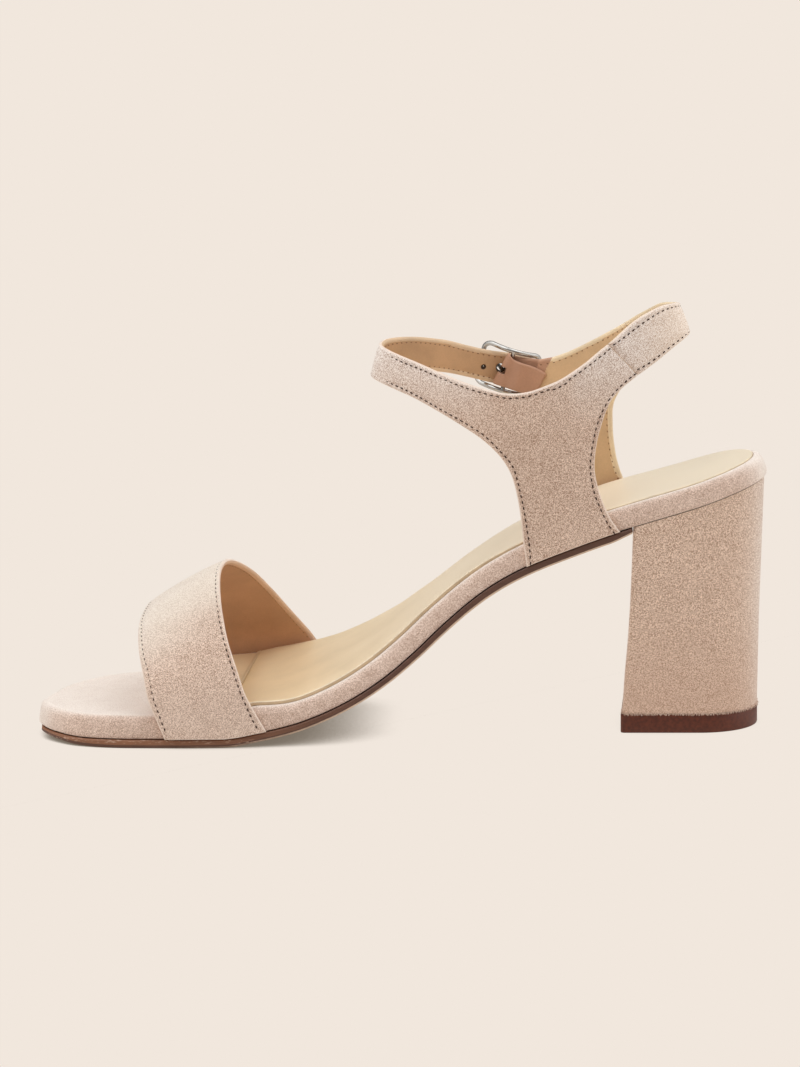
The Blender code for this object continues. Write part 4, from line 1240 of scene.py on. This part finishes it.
class SandalColours(bpy.types.PropertyGroup):
    """Colours of the finishes."""

    suede: colour_property("Upper suede", "Straps and quarters", (0.70, 0.525, 0.42))
    wrap: colour_property("Insole suede", "Wrap of the insole and the toe", (0.745, 0.572, 0.475))
    cover: colour_property("Heel suede", "Cover of the heel", (0.73, 0.545, 0.43))
    tab: colour_property("Tab suede", "Turned end that holds the buckle", (0.51, 0.283, 0.18))
    lining: colour_property("Lining", "Inside of the ankle strap", (0.59, 0.36, 0.195))
    vamp_lining: colour_property("Vamp lining", "Inside of the vamp strap", (0.54, 0.305, 0.175))
    # A lighter copy of the lining leather: painted light against the shade inside the back strap and lateral
    # quarter.
    quarter_lining: colour_property("Quarter lining", "Inside of the lateral quarter", (0.69, 0.47, 0.265))
    sock: colour_property("Sock", "Insole leather at the ball", (0.86, 0.67, 0.42))
    seat: colour_property("Seat", "Insole leather at the heel", (0.87, 0.76, 0.59))
    cut: colour_property("Cut edge", "Cut edge of the insole leather", (0.60, 0.44, 0.28))
    lit_corner: colour_property("Rubbed edge", "Upper corner of the insole leather", (0.88, 0.76, 0.57))
    toe_edge: colour_property("Toe edge", "Stained edge of the sole at the toe", (0.265, 0.116, 0.06))
    # The sock's upper corner is a painted highlight: a pale copy of the insole leather.
    waist_edge: colour_property("Waist edge", "Stained edge of the sole in the waist", (0.11, 0.05, 0.032))
    bevel: colour_property("Bevel", "Bevel under the edge in the waist", (0.62, 0.46, 0.34))
    # The holes' wall is a dark copy of the leather: painted shade inside the punched holes.
    hole: colour_property("Hole", "Wall of a punched hole", (0.1, 0.06, 0.035))
    sole: colour_property("Sole", "Underside of the sole", (0.62, 0.44, 0.30))
    lift: colour_property("Top lift", "Lift under the heel", (0.095, 0.021, 0.0085))
    metal: colour_property("Metal", "Buckle", (0.50, 0.49, 0.47))
    # The prong is a darker copy of the buckle's metal: painted shade.
    prong: colour_property("Prong", "Prong of the buckle", (0.14, 0.13, 0.12))
    thread: colour_property("Thread", "Stitches outside", (0.045, 0.02, 0.012))
    lining_thread: colour_property("Lining thread", "Stitches inside the strap", (0.27, 0.15, 0.08))
    faint_thread: colour_property("Faint thread", "Stitches inside the vamp", (0.42, 0.26, 0.14))
    floor: colour_property("Floor", "Floor of the stage", (0.88, 0.799, 0.723))


class SandalStage(bpy.types.PropertyGroup):
    """Camera and light."""

    camera_distance: FloatProperty(name="Camera distance", description="From the camera to the sandal",
                                   default=6.0, unit="LENGTH")
    camera_height: FloatProperty(name="Camera elevation", description="Angle above the floor",
                                 default=math.radians(12.0), subtype="ANGLE")
    top_power: FloatProperty(name="Top light", description="Strength of the soft light above", default=1.0)
    side_power: FloatProperty(name="Side lights", description="Strength of the soft light on each side",
                              default=1.3)
    sky_power: FloatProperty(name="Fill light", description="Strength of the even light all round",
                             default=0.3)
    shade_reach: size_property("Shade reach", "How far the shade under the sandal reaches, in mm", 25.0)


class SANDAL_OT_sole(bpy.types.Operator):
    """Thin leather sole with a stained edge and a pale bevel under it."""

    bl_idname = "sandal.sole"
    bl_label = "Outsole"

    def execute(self, context):
        pairs = edge_pair([stations(OUTSOLE_START, OUTSOLE_END)] * 2)
        top = -BAND - GAP
        bottom = top - OUTSOLE
        ledge = -OUTSOLE_LEDGE
        levels = [(bottom + rise, ledge + less, thinned_sole) for rise, less in SOLE_FOOT]
        levels += [(top + rise, ledge + less, no_relief) for rise, less in SOLE_TOP]
        finishes = [finish(name) for name in ("sole_leather", "sole_bevel", "sole_edge", "sole_shade")]
        sole = layered("leather_sole", pairs, levels, finishes, (1, 1, 3, 2, 2), (0, 2))
        settle(sole, "outsole", "outsole")
        return {"FINISHED"}


class SANDAL_OT_insole(bpy.types.Operator):
    """Suede-wrapped insole with the leather sock on it."""

    bl_idname = "sandal.insole"
    bl_label = "Insole and sock"

    def execute(self, context):
        pairs = edge_pair([stations(0.0, SEAT_BACK - SEAT_FLAT)] * 2)
        turns = np.radians(np.linspace(0.0, 90.0, 10))
        rounds = [(BAND_ROUND * (math.sin(a) - 1.0), SHOULDER_INSET * (1.0 - math.cos(a)), insole_shoulder)
                  for a in turns]
        rounds.append((0.0, SHOULDER_INSET + SHOULDER_STEP, insole_top))
        levels = [*[(rise - BAND, distance, no_relief) for rise, distance in BAND_FOOT], *rounds]
        finishes = [finish("wrap_suede"), finish("sock_leather")]
        wrap = layered("insole_wrap", pairs, levels, finishes, [0] * len(levels), (0, 0))
        self.line_front(wrap)
        settle(wrap, "insole_suede", "wrapped_insole")
        rest = stations(SOCK_SQUARE, SEAT_BACK - SEAT_FLAT)
        starts = (SOCK_FRONT_MEDIAL, SOCK_FRONT_LATERAL)
        fronts = [np.linspace(start, SOCK_SQUARE, 16)[:-1] for start in starts]
        pairs = edge_pair([np.concatenate((front, rest)) for front in fronts])
        levels = [(-SOCK - SOCK_SUNK, SOCK_INSET, cupped_rim)]
        levels += [(rise, SOCK_INSET + less, sock_top) for rise, less in SOCK_ROUND]
        # Rings: the cut face, then a painted highlight along the sock's upper corner.
        leathers = [finish("sock_leather"), finish("cut_leather"), finish("rubbed_leather")]
        sock = layered("leather_sock", pairs, levels, leathers, (1, 2, 2), (1, 0))
        settle(sock, "sock", "sock")
        return {"FINISHED"}

    def line_front(self, wrap):
        """Leather in place of suede on the insole's top ahead of the sock, under the vamp strap."""
        for face in wrap.data.polygons:
            s, y = face.center.x / MM - TOE_X, face.center.y / MM - AXIS_Y
            rim = min(y - edge_y(MEDIAL, s), edge_y(LATERAL, s) - y)
            if LINED_FROM < s < SOCK_SQUARE and face.normal.z > 0.5 and rim > BAND_ROUND:
                face.material_index = 1


class SANDAL_OT_heel(bpy.types.Operator):
    """Suede-covered block heel and its lift, with loose fibres at the cover's cut foot."""

    bl_idname = "sandal.heel"
    bl_label = "Heel"

    def execute(self, context):
        sizes = context.scene.sandal_sizes
        foot = LIFT + GAP
        table = np.array(HEEL)
        breast, back, half = (Curve(table[:, (0, column)]) for column in (1, 2, 3))
        rings = []
        for share in np.linspace(0.0, 1.0, HEEL_RINGS):
            outline = heel_outline(breast(share), back(share), half(share))
            rings.append([np.column_stack((e, foot + share * (heel_seat[side](e[:, 0]) - foot)))
                          for side, e in zip((MEDIAL, LATERAL), outline)])
        cover = stacked("heel_cover", rings, [finish("cover_suede")])
        settle(cover, "heel_suede", "heel_block")
        rings = []
        for height, less in LIFT_PROFILE:
            outline = heel_outline(LIFT_BREAST + less, LIFT_BACK - less, LIFT_HALF - less)
            rings.append([np.column_stack((e, np.full(len(e), height))) for e in outline])
        settle(stacked("heel_lift", rings, [finish("lift_rubber")]), "top_lift", "top_lift")
        medial, lateral = heel_outline(*(curve(0.0) for curve in (breast, back, half)))
        ring = np.vstack((medial, lateral[::-1], medial[:1]))
        line = smooth(ring, 3)
        ahead = np.gradient(line, axis=0)
        out = -unit(np.column_stack((-ahead[:, 1], ahead[:, 0], np.zeros(len(line)))))
        line = np.column_stack((line, np.full(len(line), foot - FRINGE_SINK)))
        places = metres(line) + out * FRINGE_OUT * MM
        down = np.tile((0.0, 0.0, -1.0), (len(line), 1)) + out * FRINGE_SPLAY
        fringe = set_along("heel_nap_fringe", [(places, down, out)], Pitch=FRINGE_PITCH * MM,
                           Length=sizes.nap_fringe * MM, Width=FRINGE_WIDTH * MM, Height=FRINGE_HEIGHT * MM,
                           Tilt=FRINGE_TILT, Seed=sizes.seed, Finish=finish("cover_suede"))
        settle(fringe, "heel_suede")
        return {"FINISHED"}


class SANDAL_OT_vamp(bpy.types.Operator):
    """Wide vamp strap, lasted round the insole and sewn along both edges."""

    bl_idname = "sandal.vamp"
    bl_label = "Vamp strap"

    def execute(self, context):
        inset_by = context.scene.sandal_sizes.stitch_inset
        face, out = vamp_grid()
        edges = (face[:, 0], face[:, -1])
        strap = leather_wall("vamp", face, out, edges, linings("vamp_lining"))
        settle(strap, "upper_suede", "vamp_strap")
        lines = []
        for column, inside in ((0, INSIDE_COLUMN), (-1, -1 - INSIDE_COLUMN)):
            line, kept = inset_line(face[:, column], out[:, column], face[:, inside], inset_by, VAMP_MARGIN)
            lines.append((line, out[kept, column]))
        sew(strap, lines, "faint_thread", VAMP_LIFTS)
        return {"FINISHED"}


class SANDAL_OT_harness(bpy.types.Operator):
    """Quarters and back strap of the ankle harness, with their seams and stitches."""

    bl_idname = "sandal.harness"
    bl_label = "Ankle harness"

    def execute(self, context):
        front = smooth(on_foot(MEDIAL_STRAP), ROW_STEPS)
        rear = smooth(on_foot(MEDIAL_REAR), ROW_STEPS)
        rows = [*front, *along_foot(front[-1], rear[0]), *rear]
        sewn_below = (slice(0, len(front)), slice(len(rows) - len(rear), None))
        self.build("medial_quarter", rows, sewn_below, "lining")
        rows = smooth(BACK, ROW_STEPS)
        self.build("back_strap", rows, (slice(0, None),), "quarter_lining")
        rear = smooth(on_foot(LATERAL_REAR), ROW_STEPS)
        front = smooth(on_foot(LATERAL_FRONT), ROW_STEPS)
        rows = [*rear, *along_foot(rear[-1], front[0]), *front]
        sewn_below = (slice(0, len(rear)), slice(len(rows) - len(front), None))
        self.build("lateral_quarter", rows, sewn_below, "quarter_lining", ahead_of_tab_seam)
        return {"FINISHED"}

    def build(self, node, rows, sewn_below, lining, unlined=None):
        """One piece with stitches along its upper edge and along parts of its lower edge."""
        inset_by = bpy.context.scene.sandal_sizes.stitch_inset
        face, out = harness_grid(rows)
        stitched = [face[:, 0], *[face[part, -1] for part in sewn_below]]
        piece = leather_wall(node + "_leather", face, out, stitched, linings(lining), unlined=unlined)
        line, kept = inset_line(face[:, 0], out[:, 0], face[:, INSIDE_COLUMN], inset_by, SEAM_MARGIN)
        lines = [(line, out[kept, 0])]
        for part in sewn_below:
            inside = face[part, -1 - INSIDE_COLUMN]
            line, kept = inset_line(face[part, -1], out[part, -1], inside, inset_by, SEAM_MARGIN)
            lines.append((line, out[part, -1][kept]))
        sew(piece, lines, "lining_thread")
        if node == "medial_quarter":
            along, up = PRONG_HOLE_PLACE
            spare = ankle_point(*SPARE_HOLE_PLACE, HOLE_REACH / 2.0)
            # Painted shade: the holes' walls are nearly black.
            shaded_hole_wall = finish("hole_leather")
            punch(piece, spare, SPARE_HOLE, SPARE_HOLE_CLOSED, shaded_hole_wall)
            punch(piece, buckle_place(along, 0.0, BAR_Y + up), PRONG_HOLE, PRONG_HOLE_CLOSED, shaded_hole_wall)
        settle(piece, "upper_suede", node)


class SANDAL_OT_buckle(bpy.types.Operator):
    """Buckle with its middle bar, prong and folded tab."""

    bl_idname = "sandal.buckle"
    bl_label = "Buckle"

    def execute(self, context):
        metal = [finish("buckle_metal")]
        ring = add_piece("buckle_ring", *tube(self.ring_path(), FRAME_RADIUS, ROD_SIDES, True), metal)
        ends = [buckle_place(0.0, b, BAR_Y) for b in (-FRAME_HALF_HEIGHT, FRAME_HALF_HEIGHT)]
        cut(ring, add_piece("bar", *tube(ends, BAR_RADIUS, ROD_SIDES, False), metal), "UNION")
        settle(ring, "buckle", "buckle_frame")
        path = smooth([buckle_place(along, 0.0, BAR_Y + up) for along, up in PRONG], 6)
        rod = tube(path, PRONG_RADIUS, PRONG_SIDES, False)
        # Painted shade: the prong's metal is darker than the frame's.
        tongue = add_piece("buckle_tongue", *rod, [finish("prong_metal")])
        settle(tongue, "buckle", "buckle_prong")
        settle(self.tab(), "upper_suede", "buckle_tab")
        return {"FINISHED"}

    def ring_path(self):
        corners = []
        for along, across, start in ((1, 1, 0.0), (-1, 1, 90.0), (-1, -1, 180.0), (1, -1, 270.0)):
            for turn in np.radians(np.linspace(start, start + 90.0, 9)):
                corners.append((along * (FRAME_HALF_LENGTH - FRAME_CORNER) + FRAME_CORNER * math.cos(turn),
                                across * (FRAME_HALF_HEIGHT - FRAME_CORNER) + FRAME_CORNER * math.sin(turn)))
            if along == across:
                reach = along * (FRAME_HALF_LENGTH - FRAME_CORNER)
                shares = np.linspace(0.85, -0.85, 12)
                corners += [(share * reach, across * FRAME_HALF_HEIGHT) for share in shares]
        return [buckle_place(a, b, BAR_Y + FRAME_ARCH * (a / FRAME_HALF_LENGTH) ** 2) for a, b in corners]

    def across(self, name, outline, half):
        """An outline along the strap and outwards, extruded across the strap."""
        count = len(outline)
        points = [buckle_place(a, b, BAR_Y + out) for b in (-half, half) for a, out in outline]
        faces = [list(range(count)), list(range(count, 2 * count))]
        faces += [[i, (i + 1) % count, count + (i + 1) % count, count + i] for i in range(count)]
        return add_piece(name, points, faces, [finish("tab_suede")])

    def tab_grid(self):
        """Face of the quarter's end from outside round the bar to its seam inside, with its outward ways."""
        reach = BAR_RADIUS + GAP + TAB_WALL
        parts = [*np.linspace(-1.0, 0.0, 31)[:-1], *np.linspace(0.0, 1.0, 25), *np.linspace(1.0, 2.0, 41)[1:]]
        turns = np.radians(90.0 + 180.0 * np.clip(parts, 0.0, 1.0))
        ways = np.column_stack((np.cos(turns), np.sin(turns)))
        top = Curve(TAB_TOP)
        grid = np.empty((len(ways), TAB_COLUMNS, 3))
        for row, (part, way) in enumerate(zip(parts, ways)):
            for column, across in enumerate(np.linspace(TAB_BOTTOM, float(top(part)), TAB_COLUMNS)):
                loose = TAB_LOOSE * max(0.0, TAB_LOOSE_BELOW - across)
                along = (reach + loose) * way[0]
                if part < 0.0:
                    along -= part * TAB_TAIL
                elif part > 1.0:
                    along = (part - 1.0) * (TAB_SEAM + TAB_SLANT * across)
                place = buckle_place(along, across, BAR_Y + reach * way[1])
                quarter = math.sqrt(float(loop_squared(place[0] - LOOP_FRONT)))
                if part < 0.0:
                    place[1] += ease(along / TAB_TAIL_SETTLE) * (quarter + TAB_CLEAR + TAB_WALL - place[1])
                elif part > 1.0:
                    place[1] += ease(along / TAB_SETTLE) * (quarter - WALL - TAB_CLEAR - TAB_WALL - place[1])
                grid[row, column] = place
        lengthwise = buckle_place(1.0, 0.0, 0.0) - buckle_place(0.0, 0.0, 0.0)
        outward = np.array([way[0] * lengthwise + (0.0, way[1], 0.0) for way in ways])[:, None, :]
        return grid, outward

    def tab(self):
        """The quarter's end, folded round the bar and sewn down inside, with a slot for the prong."""
        grid, outward = self.tab_grid()
        suede = finish("tab_suede")
        tab = leather_wall("buckle_fold", grid, grid_normals(grid, outward), (), [suede] * 4, TAB_WALL)
        far = 2.0 * (BAR_RADIUS + GAP + TAB_WALL)
        slot = [(-far, -far), (SLOT_BACK, -far), (SLOT_BACK, far), (-far, far)]
        cut(tab, self.across("slot", slot, SLOT_HALF))
        return tab


class SANDAL_OT_stage(bpy.types.Operator):
    """Plain pale floor, soft light and the camera."""

    bl_idname = "sandal.stage"
    bl_label = "Stage"

    def execute(self, context):
        scene = context.scene
        stage = scene.sandal_stage
        mesh = bpy.data.meshes.new("floor")
        signs = ((-1.0, -1.0), (1.0, -1.0), (1.0, 1.0), (-1.0, 1.0))
        mesh.from_pydata([(x * FLOOR_HALF, y * FLOOR_HALF, 0.0) for x, y in signs], [], [(0, 1, 2, 3)])
        mesh.materials.append(finish("floor_paint"))
        floor = placed("floor", mesh)
        world = bpy.data.worlds.new("studio")
        world.use_nodes = True
        sky = next(n for n in world.node_tree.nodes if n.type == "BACKGROUND")
        sky.inputs["Color"].default_value = SKY_COLOUR
        sky.inputs["Strength"].default_value = stage.sky_power
        scene.world = world
        for name, way, power in LIGHTS:
            self.light(name, way, getattr(stage, power))
        up = stage.camera_height
        back = Vector((0.0, -math.cos(up), math.sin(up)))
        lens = bpy.data.cameras.new("camera")
        lens.sensor_width = SENSOR_WIDTH
        lens.lens = lens.sensor_width * stage.camera_distance / FRAME_HEIGHT
        lens.clip_end = 100.0
        camera = placed("camera", lens)
        camera.location = Vector(CAMERA_AIM) * MM + back * stage.camera_distance
        camera.rotation_euler = (-back).to_track_quat("-Z", "Y").to_euler()
        scene.camera = camera
        scene.view_settings.view_transform = "Standard"
        return {"FINISHED"}

    def light(self, name, way, power):
        """A wide soft light that shines along a way."""
        lamp = bpy.data.lights.new(name, "SUN")
        lamp.energy = power
        lamp.angle = LIGHT_SPREAD
        placed(name, lamp).rotation_euler = Vector(way).to_track_quat("-Z", "Y").to_euler()


BUILD_ORDER = (SANDAL_OT_stage, SANDAL_OT_sole, SANDAL_OT_insole, SANDAL_OT_heel, SANDAL_OT_vamp,
               SANDAL_OT_harness, SANDAL_OT_buckle)


class SANDAL_PT_panel(bpy.types.Panel):
    """Lists the sandal's pieces and settings in the sidebar."""

    bl_idname = "SANDAL_PT_panel"
    bl_label = "Sandal"
    bl_space_type = "VIEW_3D"
    bl_region_type = "UI"
    bl_category = "Sandal"

    def draw(self, context):
        for step in BUILD_ORDER:
            self.layout.operator(step.bl_idname)
        for group in (context.scene.sandal_sizes, context.scene.sandal_colours, context.scene.sandal_stage):
            box = self.layout.box()
            for key in group.__annotations__:
                box.prop(group, key)


GROUPS = {"sandal_sizes": SandalSizes, "sandal_colours": SandalColours, "sandal_stage": SandalStage}


def register():
    for kind in (*GROUPS.values(), *BUILD_ORDER, SANDAL_PT_panel):
        bpy.utils.register_class(kind)
    for name, kind in GROUPS.items():
        setattr(bpy.types.Scene, name, PointerProperty(type=kind))


def unregister():
    for name in GROUPS:
        delattr(bpy.types.Scene, name)
    for kind in (SANDAL_PT_panel, *reversed(BUILD_ORDER), *GROUPS.values()):
        bpy.utils.unregister_class(kind)


def main():
    register()
    for step in BUILD_ORDER:
        group, name = step.bl_idname.split(".")
        getattr(getattr(bpy.ops, group), name)()


if __name__ == "__main__":
    main()
